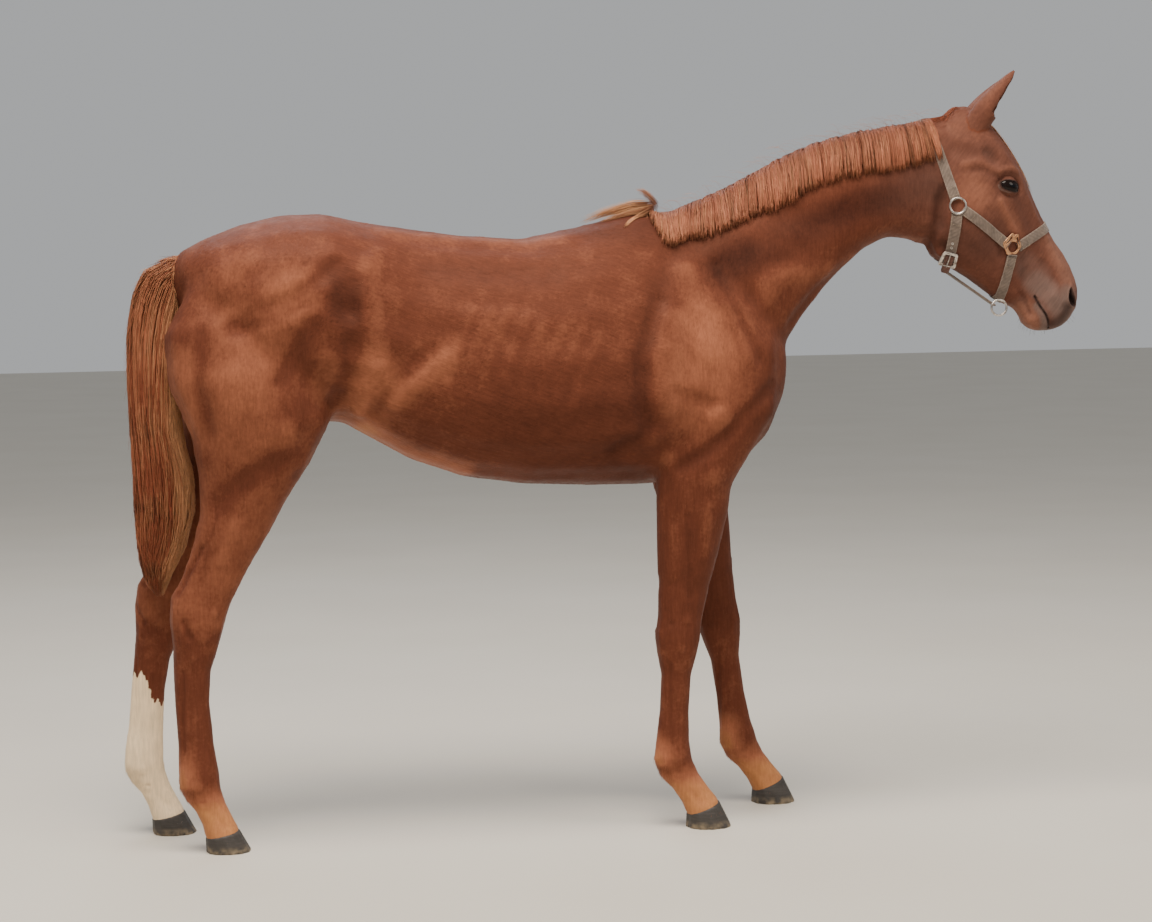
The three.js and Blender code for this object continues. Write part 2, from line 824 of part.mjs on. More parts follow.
// The throat strap's buckle, as an open frame or as the room that it takes.
function buckle(thick, open) {
  const { wide, high, bar, top } = BUCKLE_SIZE;
  const outline = (w, h) =>
    planar([
      [-w / 2, -h / 2],
      [w / 2, -h / 2],
      [(w / 2) * top, h / 2],
      [(-w / 2) * top, h / 2],
    ]);
  const shape = new THREE.Shape(outline(wide, high));
  if (open) shape.holes.push(new THREE.Path(outline(wide - 2 * bar, high - 2 * bar)));
  return solidOf(atBuckle(plate(shape, thick), BUCKLE_LIFT));
}

function addHalter() {
  const { webbing, brass, steel } = MATERIALS;
  addNode("halter_crown", strap(CROWN), webbing);
  addNode("halter_nose", strap(NOSEBAND), webbing);

  // The chin ring hangs on the right of the jaw, in a loop at the end of the chin strap.
  const chin = strap(CHINBAND);
  const [cx, cz] = CHIN_RING;
  const top = cz + RING_RADIUS;
  const under = chin.intersect(
    sideBlock(strip([cx, cz], [cx, top + LOOP.above], 2 * STRAP_WIDTH), -FAR, 0),
  );
  const ringY = under.boundingBox().min[1] - 2 * RING_WIRE;
  const placed = (wire) => solidOf(ring(wire).translate(cx, ringY, cz));
  const loopAt = (by) =>
    sideBlock(
      strip([cx, top - LOOP.below - by], [cx, top + LOOP.above + by], LOOP.width + 2 * by),
      ringY - LOOP.out - by,
      0,
    );
  const loop = loopAt(0).subtract(neckAndHead(2 * GAP));
  const chinStrap = chin.add(loop).subtract(placed(RING_WIRE + GAP));
  addNode("halter_chin", main(chinStrap), webbing);
  addNode("halter_ring_chin", placed(RING_WIRE), steel);

  // The jaw strap runs under the jaw from the throat strap to the chin strap.
  const throat = strap(THROATLATCH);
  const tongue = new THREE.BoxGeometry(TONGUE.width, STRAP_THICK, TONGUE.length).translate(
    0,
    0,
    BUCKLE_DROP - TONGUE.length / 2,
  );
  const freeEnd = solidOf(atBuckle(tongue, GAP + STRAP_THICK / 2));
  const throatStrap = throat
    .add(freeEnd)
    .subtract(spread)
    .subtract(buckle(BUCKLE_THICK + 2 * GAP, false));
  addNode("halter_throat", main(throatStrap), webbing);
  addNode("halter_buckle", buckle(BUCKLE_THICK, true), steel);
  const middle = (solid) => {
    const line = sideBlock(strip([-FAR, 0], [FAR, 0], 2 * FAR), -1, 1);
    const { min, max } = solid.intersect(line).boundingBox();
    return [(min[0] + max[0]) / 2, min[2]];
  };
  const [from, to] = [middle(throat), middle(chin)];
  const jaw = sideBlock(
    strip([from[0], from[1] - STRAP_THICK], [to[0] - JAW_DROP, to[1] - JAW_DROP], STRAP_THICK),
    -STRAP_WIDTH / 2,
    STRAP_WIDTH / 2,
  );
  const clear = joined([neckAndHead(3 * GAP + STRAP_THICK), loopAt(GAP), placed(RING_WIRE + GAP)]);
  addNode("halter_jaw", main(jaw.subtract(clear)), webbing);

  for (const [side, sign] of Object.entries(SIDES)) {
    addNode(`halter_cheek_${side}`, cheekStrap(sign), webbing);
    const lift = GAP + RING_WIRE + 1;
    const round = laid(ring(RING_WIRE), UPPER_RING, sign, lift);
    addNode(`halter_ring_upper_${side}`, solidOf(round), steel);
    addNode(`halter_ring_nose_${side}`, solidOf(laid(nosePiece(), NOSE_RING, sign, lift)), brass);
  }
}

addFlesh();
addMane();
addForelock();
addTail();
addHalter();

// The origin goes to the middle of the horse's box, on the floor.
const box = new THREE.Box3().setFromObject(horse);
const middle = box.getCenter(new THREE.Vector3());
horse.position.set(-middle.x, -middle.y, -box.min.z);

export default root;
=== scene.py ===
import math

import bmesh
import bpy
import numpy as np
from mathutils import Matrix, Vector
from mathutils.bvhtree import BVHTree


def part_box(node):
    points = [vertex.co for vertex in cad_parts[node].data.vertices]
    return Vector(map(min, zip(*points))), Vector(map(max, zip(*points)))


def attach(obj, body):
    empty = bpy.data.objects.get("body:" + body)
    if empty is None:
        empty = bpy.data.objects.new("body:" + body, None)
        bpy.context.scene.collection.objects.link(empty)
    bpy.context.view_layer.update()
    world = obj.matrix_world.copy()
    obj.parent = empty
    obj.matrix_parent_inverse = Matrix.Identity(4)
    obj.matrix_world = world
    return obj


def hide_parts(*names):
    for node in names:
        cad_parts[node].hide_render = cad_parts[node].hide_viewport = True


bl_info = {
    "name": "Chestnut horse",
    "version": (1, 0, 0),
    "blender": (4, 5, 0),
    "location": "View3D > Sidebar > Horse",
    "description": "Skin, coat, long hair, hooves, eyes and halter of a standing chestnut horse",
    "category": "Mesh",
}

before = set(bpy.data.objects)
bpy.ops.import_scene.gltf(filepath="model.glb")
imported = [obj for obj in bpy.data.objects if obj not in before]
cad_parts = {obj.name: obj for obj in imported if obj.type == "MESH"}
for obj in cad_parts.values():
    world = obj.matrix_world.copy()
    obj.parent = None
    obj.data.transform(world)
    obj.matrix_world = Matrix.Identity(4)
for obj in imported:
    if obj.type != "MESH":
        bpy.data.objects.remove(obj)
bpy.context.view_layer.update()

MM = 0.001
SIDES = {"left": 1.0, "right": -1.0}
LIMBS = [f"leg_{end}_{side}" for end in ("fore", "hind") for side in SIDES]
LEG_NODES = [f"{limb}_{piece}" for limb in LIMBS for piece in ("upper", "cannon", "pastern")]
FLESH = ["trunk", "neck", "head", *LEG_NODES]
DOWN = Vector((0, 0, -1))
SKY = 2.5  # a height above the whole horse
WELD = 0.02  # corners closer than this, in millimetres, are one


def linear(hex_colour):
    """A colour written as sRGB hex, turned to the linear numbers that shaders and lamps take."""
    shares = [int(hex_colour[k : k + 2], 16) / 255 for k in (0, 2, 4)]
    return tuple(c / 12.92 if c <= 0.04045 else ((c + 0.055) / 1.055) ** 2.4 for c in shares)


def colour(name, hex_colour, description):
    return bpy.props.FloatVectorProperty(
        name=name,
        description=description,
        subtype="COLOR",
        size=3,
        min=0,
        max=1,
        default=linear(hex_colour),
    )


def length(name, millimetres, description):
    return bpy.props.FloatProperty(
        name=name, description=description, default=millimetres * MM, min=0, unit="LENGTH"
    )


def share(name, default, description):
    return bpy.props.FloatProperty(
        name=name, description=description, default=default, min=0, max=1, subtype="FACTOR"
    )


def number(name, default, description):
    return bpy.props.IntProperty(name=name, description=description, default=default, min=1)


class CoatSettings(bpy.types.PropertyGroup):
    """The skin's and the coat's colours and sizes."""

    chestnut: colour("Chestnut", "5f3426", "Red chestnut of most of the coat")
    # The coat's darker tone, and the colour of its painted shade in the hollows, under the mane and under
    # the belly.
    dark: colour("Dark chestnut", "301914", "Coat in the hollows, on the crest and under the belly")
    # The coat's lighter tone, and the colour of its painted light on the muscle edges, the shoulder, the
    # hip and the thigh.
    light: colour("Light chestnut", "985e45", "Coat of the muscle edges")
    tan: colour("Tan", "b57b4e", "Coat of the pasterns and the fold of the flank")
    sock: colour("Sock", "f2d8b2", "White hair of the left hind sock")
    muzzle: colour("Muzzle", "74615a", "Short grey-brown hair over the muzzle")
    bare: colour("Bare skin", "2c2322", "Skin of the nostrils, lips and eyelids")
    depth: length("Coat depth", 1.6, "How far the skin lies inside the horse's outline")
    face_depth: length("Face coat depth", 0.8, "The same on the face and the lower legs")
    tuft: length("Tuft length", 15.0, "Length of one tuft of the body coat")
    tuft_width: length("Tuft width", 1.3, "Width of a tuft at its root")
    tufts: number("Tufts", 108000, "Number of tufts over the whole coat")


class HairSettings(bpy.types.PropertyGroup):
    """The mane's, forelock's and tail's colours and sizes."""

    roots: colour("Hair roots", "4c291f", "Long hair at its roots")
    mane: colour("Mane", "965a44", "Mane along its length")
    flaxen: colour("Flaxen", "d29c70", "Pale hair at the withers, the forelock and in the tail")
    tail: colour("Tail", "8b4c37", "Tail under its pale streaks")
    width: length("Strand width", 2.0, "Width of a strand near its root")
    mane_strands: number("Mane strands", 6400, "Number of strands in the mane")
    tail_strands: number("Tail strands", 5600, "Number of strands in the tail")
    forelock_strands: number("Forelock strands", 700, "Number of strands in the forelock")


class TackSettings(bpy.types.PropertyGroup):
    """The halter's and the hooves' colours and sizes."""

    webbing: colour("Webbing", "7a695d", "Flat woven halter strap, faded grey-brown")
    strap_end: colour("Strap end", "6b4438", "Darker strap end below the buckle")
    brass: colour("Brass", "d8a47c", "Rose-coloured cast brass of the nose pieces")
    steel: colour("Steel", "c9c2bb", "Plated steel of the rings and the buckle")
    horn: colour("Hoof horn", "3a3531", "Dark grey horn of the hooves")
    iris: colour("Iris", "1d100a", "Dark brown of the eyes")
    strap: length("Strap width", 27.0, "Width of the halter's straps")
    strap_thick: length("Strap thickness", 2.4, "Thickness of the halter's straps")


# ------------------------------------------------------------ meshes and places


def drafted(name, data):
    """A new object in the scene."""
    piece = bpy.data.objects.new(name, data)
    bpy.context.scene.collection.objects.link(piece)
    return piece


def add_object(name, mesh, material, nodes=()):
    """Finishes a piece: its material, the body it rides on and the nodes it replaces."""
    mesh.materials.clear()
    mesh.materials.append(material)
    piece = drafted(name, mesh)
    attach(piece, "root")
    if nodes:
        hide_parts(*nodes)


def finished(bm, name):
    """A mesh made of a bmesh, with smooth faces."""
    for face in bm.faces:
        face.smooth = True
    mesh = bpy.data.meshes.new(name)
    bm.to_mesh(mesh)
    bm.free()
    return mesh


def points_of(mesh):
    points = np.empty(len(mesh.vertices) * 3)
    mesh.vertices.foreach_get("co", points)
    return points.reshape(-1, 3)


def edges_of(mesh):
    edges = np.empty(len(mesh.edges) * 2, int)
    mesh.edges.foreach_get("vertices", edges)
    return edges.reshape(-1, 2)


def normals_of(mesh):
    normals = np.empty(len(mesh.vertices) * 3)
    mesh.vertex_normals.foreach_get("vector", normals)
    return normals.reshape(-1, 3)


def mesh_tree(mesh):
    """A search tree over a mesh's faces."""
    faces = [tuple(face.vertices) for face in mesh.polygons]
    return BVHTree.FromPolygons([vertex.co for vertex in mesh.vertices], faces)


def set_points(mesh, points):
    mesh.vertices.foreach_set("co", points.ravel())
    mesh.update()


def store(mesh, name, values):
    """Keeps one number for each vertex as a named attribute, for the materials."""
    attribute = mesh.attributes.new(name, "FLOAT", "POINT")
    attribute.data.foreach_set("value", np.asarray(values, np.float32))


def mark_of(mesh, name):
    values = np.empty(len(mesh.vertices))
    mesh.attributes[name].data.foreach_get("value", values)
    return values


def from_above(tree, x, y):
    """The first place that a tree meets straight under a high point, and its normal."""
    return tree.ray_cast(Vector((x, y, SKY)), DOWN)[:2]


def laid_along(way, normal):
    """A wanted direction, turned to lie along the skin."""
    way = way - normal * normal.dot(way)
    way.normalize()
    return way


def unit(vectors):
    """Vectors of length 1 in the same directions."""
    size = np.linalg.norm(vectors, axis=-1, keepdims=True)
    return vectors / np.maximum(size, 1e-9)


def fade(values, start, end):
    """0 before start and 1 past end, smooth between; start may be the larger."""
    t = np.clip((np.asarray(values, float) - start) / (end - start), 0, 1)
    return t * t * (3 - 2 * t)


def spot(node, along, up):
    """A place in the side view, by its shares of a node's length and height."""
    low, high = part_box(node)
    return np.array([low.x + along * (high.x - low.x), low.z + up * (high.z - low.z)])


def near_box(points, node, margin):
    """For each point, 1 in a node's box and fading to 0 at a margin round it."""
    low, high = (np.array(corner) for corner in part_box(node))
    outside = np.maximum(np.maximum(low - points, points - high), 0)
    return 1 - fade(np.linalg.norm(outside, axis=1), 0, margin)


def relax(points, edges, rounds, weight=1.0, swell=0.53):
    """Smooths points along edges; each pull is followed by a push that keeps the volume."""
    count = len(points)
    degree = np.bincount(edges.ravel(), minlength=count)[:, None]
    weight = np.broadcast_to(np.asarray(weight, float).reshape(-1, 1), (count, 1))
    a, b = edges.T
    for step in [0.5, -swell] * rounds:
        mean = np.stack(
            [
                np.bincount(a, points[b, k], count) + np.bincount(b, points[a, k], count)
                for k in range(3)
            ],
            axis=1,
        )
        points = points + step * weight * (mean / np.maximum(degree, 1) - points)
    return points


def node_copy(name):
    """A closed copy of a frame node, whose own mesh is loose triangles."""
    bm = bmesh.new()
    bm.from_mesh(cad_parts[name].data)
    bmesh.ops.remove_doubles(bm, verts=bm.verts, dist=WELD * MM)
    bm.normal_update()
    return bm


def worked(piece):
    """The mesh that an object's modifiers make; the object goes."""
    shape = piece.evaluated_get(bpy.context.evaluated_depsgraph_get())
    mesh = bpy.data.meshes.new_from_object(shape)
    bpy.data.objects.remove(piece)
    return mesh


def even_grid(bm, voxel, name):
    """Remeshes a closed form to an even grid of quads and keeps its largest piece."""
    piece = drafted(name, finished(bm, name))
    remesh = piece.modifiers.new("Even grid", "REMESH")
    remesh.mode = "VOXEL"
    remesh.voxel_size = voxel
    mesh = worked(piece)
    grid = bmesh.new()
    grid.from_mesh(mesh)
    unseen = set(grid.verts)
    largest = set()
    while unseen:
        reached = {unseen.pop()}
        edge_of_reach = list(reached)
        while edge_of_reach:
            vertex = edge_of_reach.pop()
            for edge in vertex.link_edges:
                other = edge.other_vert(vertex)
                if other in unseen:
                    unseen.discard(other)
                    reached.add(other)
                    edge_of_reach.append(other)
        if len(reached) > len(largest):
            largest = reached
    bmesh.ops.delete(grid, geom=[v for v in grid.verts if v not in largest], context="VERTS")
    return grid


def refine(bm, wanted):
    """Splits the edges whose two ends are both wanted, by their places."""
    bm.verts.index_update()
    keep = wanted(np.array([v.co for v in bm.verts]))
    edges = [e for e in bm.edges if keep[e.verts[0].index] and keep[e.verts[1].index]]
    bmesh.ops.subdivide_edges(bm, edges=edges, cuts=1, use_grid_fill=True)


def move_to(bm, points):
    """Moves a bmesh's corners to a list of places."""
    for vertex, point in zip(bm.verts, points):
        vertex.co = point


def bm_relax(bm, rounds, weight, swell=0.53):
    """Smooths a bmesh where the weight, worked out from its places, is above 0."""
    bm.verts.index_update()
    points = np.array([v.co for v in bm.verts])
    edges = np.array([[v.index for v in e.verts] for e in bm.edges])
    move_to(bm, relax(points, edges, rounds, weight(points), swell))


# ------------------------------------------------------------ modelling the skin
# A stroke is a line drawn on the side of the horse: its places as shares of a node's length and
# height, how wide it is and how far it raises the skin, in millimetres; below 0 it sinks.

BODY_STROKES = [
    # hindquarters
    ([(0.335, 0.86)], 34, 5),  # point of the hip
    ([(0.32, 0.83), (0.31, 0.74), (0.32, 0.61), (0.325, 0.5)], 46, 6),
    ([(0.285, 0.74), (0.28, 0.68)], 62, -13),  # hollow of the flank
    ([(0.285, 0.66), (0.29, 0.54)], 46, -6),
    ([(0.27, 0.82), (0.21, 0.71), (0.15, 0.65), (0.11, 0.61)], 42, -8),
    ([(0.245, 0.745), (0.17, 0.665), (0.13, 0.64)], 26, 4),
    ([(0.225, 0.62), (0.2, 0.52), (0.18, 0.44)], 36, -6),
    ([(0.285, 0.55), (0.28, 0.45), (0.262, 0.36)], 34, -6),  # front edge of the thigh
    ([(0.25, 0.5), (0.235, 0.4)], 45, 5),
    ([(0.11, 0.42)], 90, 6),
    ([(0.06, 0.6), (0.052, 0.42), (0.07, 0.27)], 30, -5),
    ([(0.14, 0.86), (0.08, 0.76)], 60, 4),
    # flank and belly
    ([(0.325, 0.47), (0.306, 0.4), (0.298, 0.31)], 26, 6),
    ([(0.34, 0.38), (0.32, 0.32)], 26, -5),
    ([(0.43, 0.5), (0.39, 0.42), (0.35, 0.35)], 34, 6),
    ([(0.405, 0.53), (0.36, 0.44)], 36, -5),
    # shoulder
    ([(0.77, 0.68), (0.737, 0.5), (0.732, 0.34), (0.742, 0.25)], 34, -9),
    ([(0.79, 0.6), (0.775, 0.45), (0.77, 0.33)], 62, 8),
    ([(0.82, 0.78), (0.85, 0.5)], 60, 5),
    ([(0.8, 0.84), (0.77, 0.72)], 46, -4),
    ([(0.745, 0.21), (0.71, 0.2), (0.685, 0.16)], 24, -6),
    ([(0.75, 0.2)], 36, 7),  # elbow
    ([(0.72, 0.14)], 40, 4),
    ([(0.868, 0.8), (0.9, 0.63), (0.932, 0.47)], 24, -6),
    ([(0.845, 0.8), (0.878, 0.64), (0.9, 0.5)], 20, -3),
    ([(0.93, 0.69)], 46, -6),
    ([(0.862, 0.27)], 48, 8),  # point of the shoulder
    ([(0.79, 0.36), (0.85, 0.32)], 34, -6),
    ([(0.955, 0.38), (0.91, 0.29), (0.88, 0.22), (0.84, 0.15), (0.8, 0.1)], 27, -8),
    ([(0.78, 0.13)], 38, 5),
    ([(0.855, 0.06)], 42, 5),
    # back
    ([(0.35, 0.93), (0.5, 0.9), (0.64, 0.9)], 50, 4),
    ([(0.42, 0.8), (0.6, 0.77)], 60, -4),
]
RIBS = 8
RIB_FIRST, RIB_APART = 0.475, 0.0275  # place of the first rib along the trunk and gap to the next
RIB_WIDTH, RIB_RAISE = 21, 2.3

NECK_STROKES = [
    ([(0.34, 0.24)], 56, 6),
    ([(0.96, 0.33), (0.72, 0.2), (0.5, 0.06)], 30, -6),  # jugular groove
    ([(0.94, 0.45), (0.6, 0.32), (0.36, 0.3)], 44, 5),
    ([(0.8, 0.62), (0.5, 0.55), (0.25, 0.6)], 60, -5),
    ([(0.9, 0.2), (0.66, 0.08)], 26, 4),
    ([(0.985, 0.62), (0.965, 0.42)], 30, -6),
]

HEAD_STROKES = [
    ([(0.2, 0.735), (0.27, 0.75), (0.32, 0.745), (0.37, 0.722), (0.42, 0.7)], 17, 3),
    ([(0.25, 0.712), (0.33, 0.712), (0.39, 0.688)], 14, -2),
    ([(0.35, 0.79), (0.39, 0.755)], 22, -6),  # hollow over the eye
    ([(0.16, 0.8), (0.26, 0.79)], 30, -3),
    ([(0.44, 0.712), (0.5, 0.722), (0.56, 0.708)], 14, 3),  # brow
    ([(0.43, 0.578), (0.46, 0.54), (0.5, 0.49), (0.545, 0.44)], 12, 4),  # facial crest
    ([(0.4, 0.53), (0.45, 0.465), (0.5, 0.41)], 17, -3),
    ([(0.56, 0.58), (0.62, 0.5), (0.67, 0.43)], 18, -3),
    ([(0.64, 0.58), (0.71, 0.49), (0.78, 0.41)], 15, 2.5),  # edge of the nasal bone
    ([(0.35, 0.54), (0.42, 0.44), (0.45, 0.34)], 16, -3),
    ([(0.27, 0.52)], 95, 7),  # cheek
    ([(0.08, 0.62), (0.07, 0.48)], 26, -5),
    ([(0.6, 0.32), (0.62, 0.23)], 22, -4),
    ([(0.8, 0.37), (0.875, 0.28)], 17, 2.5),
    ([(0.74, 0.3), (0.82, 0.22)], 20, -2.5),
    ([(0.8, 0.15)], 28, 3),  # upper lip
    ([(0.87, 0.075)], 20, 2.5),
    ([(0.606, 0.17), (0.638, 0.12), (0.662, 0.08)], 9, -5),  # behind the chin
    ([(0.668, 0.05)], 22, 4),
    ([(0.715, 0.13), (0.735, 0.075), (0.757, 0.03)], 9, 2.5),  # lower lip
    ([(0.745, 0.15), (0.78, 0.1), (0.815, 0.05)], 10, 1.5),
]
MOUTH = [(0.69, 0.155), (0.72, 0.112), (0.757, 0.075), (0.778, 0.045), (0.79, 0.012)]
MOUTH_WIDTH = 3.4
MOUTH_DEPTH = 5.0

# A stroke on a leg names its piece first, and last whether the inner side has it too.
FORE_STROKES = [
    ("upper", [(0.39, 0.86), (0.4, 0.6), (0.41, 0.3)], 13, -4, True),
    ("upper", [(0.2, 0.75), (0.2, 0.45)], 26, 4, True),
    ("upper", [(0.62, 0.9), (0.62, 0.6)], 26, 4, True),
    ("upper", [(0.18, 0.12)], 13, -3, True),
    ("upper", [(0.38, 0.14)], 20, 3.5, True),
    ("upper", [(0.04, 0.05)], 16, 3, True),
    ("cannon", [(0.25, 0.955), (0.85, 0.965)], 7, -1.6, True),
    ("cannon", [(0.55, 0.9)], 18, 2.5, True),
    ("cannon", [(0.33, 0.78), (0.33, 0.5), (0.36, 0.14)], 7, -3.2, True),
    ("cannon", [(0.55, 0.7), (0.55, 0.3)], 8, 1.2, True),
    ("cannon", [(0.5, 0.03)], 22, 3, True),
    ("pastern", [(0.34, 0.76)], 12, -3.5, True),
    ("pastern", [(0.12, 0.7)], 14, 3, True),
    ("pastern", [(0.5, 0.42), (0.72, 0.2)], 12, -2, True),
]
HIND_STROKES = [
    ("upper", [(0.05, 0.15), (0.12, 0.25), (0.2, 0.36)], 16, -9, True),
    ("upper", [(0.34, 0.6), (0.25, 0.4), (0.2, 0.2)], 15, -3, True),
    ("upper", [(0.42, 0.48), (0.33, 0.3)], 24, 4, True),
    ("upper", [(0.32, 0.57), (0.5, 0.7), (0.7, 0.78)], 44, -6, False),
    ("upper", [(0.74, 0.9)], 56, 5, False),
    ("upper", [(0.82, 0.7)], 24, -4, False),
    ("upper", [(0.28, 0.045)], 16, 4, True),
    ("cannon", [(0.24, 0.93), (0.34, 0.84)], 13, -5, True),
    ("cannon", [(0.57, 0.83)], 20, 3.5, True),
    ("cannon", [(0.4, 0.72)], 17, 2, True),
    ("cannon", [(0.22, 0.64), (0.2, 0.42), (0.19, 0.18)], 7, -3.2, True),
    ("cannon", [(0.42, 0.6), (0.4, 0.25)], 8, 1.2, True),
    ("pastern", [(0.3, 0.88)], 20, 3, True),
    ("pastern", [(0.39, 0.6)], 10, -3.5, True),
    ("pastern", [(0.55, 0.42), (0.75, 0.2)], 12, -2, True),
]
HIND_CHESTNUT = [(0.3, 0.86), (0.28, 0.75)]
FORE_CHESTNUT = [(0.38, 0.27), (0.38, 0.22)]
VEIN = [(0.61, 0.66), (0.48, 0.6), (0.38, 0.52), (0.35, 0.45)]
CHESTNUT_WIDTH, CHESTNUT_RAISE = 8, 2.5
VEIN_WIDTH, VEIN_RAISE = 5, 1.6


def line_distance(points, line):
    """How far each point is from a line of several places."""
    line = np.atleast_2d(line)
    if len(line) == 1:
        return np.linalg.norm(points - line[0], axis=1)
    nearest = np.full(len(points), np.inf)
    for start, end in zip(line[:-1], line[1:]):
        along = end - start
        t = np.clip((points - start) @ along / (along @ along), 0, 1)
        nearest = np.minimum(nearest, np.linalg.norm(points - start - t[:, None] * along, axis=1))
    return nearest


ASIDE = 0.03  # how far beside a node a ray towards it starts


class Sculpture:
    """The skin's points while strokes are drawn on them."""

    def __init__(self, mesh):
        self.start = points_of(mesh)
        self.normals = normals_of(mesh)
        self.raised = np.zeros(len(self.start))
        self.tree = mesh_tree(mesh)

    def drop(self, node, along, up, side, inner=False):
        """The place on the skin at a share of a node's length and height, seen from one side."""
        x, z = spot(node, along, up)
        low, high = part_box(node)
        toward = side if inner else -side
        y = low.y - ASIDE if toward > 0 else high.y + ASIDE
        hit = self.tree.ray_cast(Vector((x, y, z)), Vector((0, toward, 0)))[0]
        if hit is None:
            hit = self.tree.find_nearest(Vector((x, y + toward * ASIDE, z)))[0]
        return np.array(hit)

    def near(self, line, radius, outward):
        """How much of a stroke each point gets."""
        line = np.atleast_2d(line)
        inside = ((self.start > line.min(0) - radius) & (self.start < line.max(0) + radius)).all(1)
        chosen = np.nonzero(inside)[0]
        strength = (1 - np.minimum(line_distance(self.start[chosen], line) / radius, 1) ** 2) ** 2
        facing = fade(self.normals[chosen] @ np.array([0, outward, 0]), -0.4, 0.2)
        return chosen, strength * facing

    def stroke(self, node, places, radius, raise_by, side, inner=False):
        """Raises the skin along a line of places on one side of a node."""
        line = [self.drop(node, along, up, side, inner) for along, up in places]
        chosen, strength = self.near(line, radius * MM, -side if inner else side)
        self.raised[chosen] += raise_by * MM * strength

    def points(self):
        return self.start + self.normals * self.raised[:, None]


def sculpt_body(shape):
    """Draws every stroke of muscle, bone, rib, tendon and vein, on both sides."""
    for side in SIDES.values():
        for places, radius, by in BODY_STROKES:
            shape.stroke("trunk", places, radius, by, side)
        for rib in range(RIBS):
            top = 0.66 - 0.02 * max(rib - 2, 0)
            start = RIB_FIRST + RIB_APART * rib
            places = [(start, top), (start - 0.028, top - 0.12), (start - 0.045, top - 0.24)]
            shape.stroke("trunk", places, RIB_WIDTH, RIB_RAISE, side)
        for places, radius, by in NECK_STROKES:
            shape.stroke("neck", places, radius, by, side)
        for places, radius, by in HEAD_STROKES:
            shape.stroke("head", places, radius, by, side)
    for limb in LIMBS:
        side = SIDES[limb.split("_")[-1]]
        strokes = FORE_STROKES if "fore" in limb else HIND_STROKES
        for piece, places, radius, by, both in strokes:
            for inner in [False, True] if both else [False]:
                shape.stroke(f"{limb}_{piece}", places, radius, by, side, inner)
    for side_name, side in SIDES.items():
        hock, forearm = f"leg_hind_{side_name}_cannon", f"leg_fore_{side_name}_upper"
        for node, line in ((hock, HIND_CHESTNUT), (forearm, FORE_CHESTNUT)):
            shape.stroke(node, line, CHESTNUT_WIDTH, CHESTNUT_RAISE, side, True)
        shape.stroke(hock, VEIN, VEIN_WIDTH, VEIN_RAISE, side, True)


class Facing:
    """A flat frame of reference against the skin: forward, upward and outward through a place."""

    def __init__(self, place, outward, lean):
        self.place = np.asarray(place, float)
        self.out = unit(np.asarray(outward, float))
        forward = np.array([math.cos(lean), 0, math.sin(lean)])
        self.forward = unit(forward - self.out * (forward @ self.out))
        up = np.cross(self.out, self.forward)
        self.up = up if up[2] > 0 else -up

    def local(self, points):
        """Points of the scene, measured forward, upward and outward from the place."""
        offset = points - self.place
        return np.stack([offset @ self.forward, offset @ self.up, offset @ self.out], axis=1)

    def world(self, local):
        """The reverse of local."""
        return (
            self.place
            + local[:, :1] * self.forward
            + local[:, 1:2] * self.up
            + local[:, 2:] * self.out
        )


# The eye: its opening between the lids, in millimetres about its own middle, which stands this
# far in front of and above the middle of the eye's node.
EYE_SHIFT = (2.0, -5.0)
EYE_BALL = (31.0, 24.0, 24.0)
EYE_LEAN = -0.28
EYE_OUT = (0.3, 0.94, 0.1)
EYE_HALF = 29.0
EYE_ABOVE = 13.0
EYE_BELOW = 15.0
LID = 2.0
LID_REACH = 27.0
LID_EDGE = 0.8  # points this close to the opening are drawn to its edge
# Of the upper and the lower lid: how far its crease is from the edge, how deep it is, and how
# far the skin swells beyond it.
CREASE = (7.0, 6.5)
CREASE_DEPTH = (2.0, 0.4)
SWELLING = (1.6, 0.3)
CREASE_WIDTH = 1.7
SWELLING_WIDTH = 5.0
POCKET = 5.0  # how deep the skin goes in behind a lid


def eye_facing(name):
    """The facing through the middle of an eyeball."""
    low, high = (np.array(corner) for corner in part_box(f"eye_{name}"))
    side = SIDES[name]
    out = np.array(EYE_OUT) * [1, side, 1]
    centre = (low + high) / 2
    surface = high[1] if side > 0 else low[1]
    place = np.array([centre[0] + EYE_SHIFT[0] * MM, surface, centre[2] + EYE_SHIFT[1] * MM])
    return Facing(place - unit(out) * EYE_BALL[2] * MM, out, EYE_LEAN)


def eye_opening():
    """The outline of the opening between the lids, once round."""
    t = np.linspace(0, math.pi, 40)
    u = -np.cos(t) * EYE_HALF
    arch = np.sin(t) ** 0.85
    skew = 0.12 * np.sin(2 * t)
    upper = np.stack([u, (arch - skew) * EYE_ABOVE], 1)
    lower = np.stack([u, -(arch + skew) * EYE_BELOW], 1)
    return np.concatenate([upper, lower[-2:0:-1]]) * MM


def outline_distance(flat, outline):
    """Distance of flat points to a closed outline, below 0 inside it, and the nearest places."""
    best = np.full(len(flat), np.inf)
    nearest = np.zeros_like(flat)
    inside = np.zeros(len(flat), bool)
    for a, b in zip(outline, np.roll(outline, -1, axis=0)):
        along = b - a
        t = np.clip((flat - a) @ along / (along @ along), 0, 1)
        place = a + t[:, None] * along
        distance = np.linalg.norm(flat - place, axis=1)
        closer = distance < best
        best[closer] = distance[closer]
        nearest[closer] = place[closer]
        crosses = (a[1] > flat[:, 1]) != (b[1] > flat[:, 1])
        if a[1] != b[1]:
            at = a[0] + (flat[:, 1] - a[1]) / (b[1] - a[1]) * along[0]
            inside ^= crosses & (flat[:, 0] < at)
    return np.where(inside, -best, best), nearest


def ball_height(flat, extra=0.0):
    """How far out the eyeball, or a lid over it, stands at a place of the opening."""
    wide, high, deep = (size * MM + extra for size in EYE_BALL)
    rest = 1 - (flat[:, 0] / wide) ** 2 - (flat[:, 1] / high) ** 2
    return deep * np.sqrt(np.maximum(rest, 0.02))


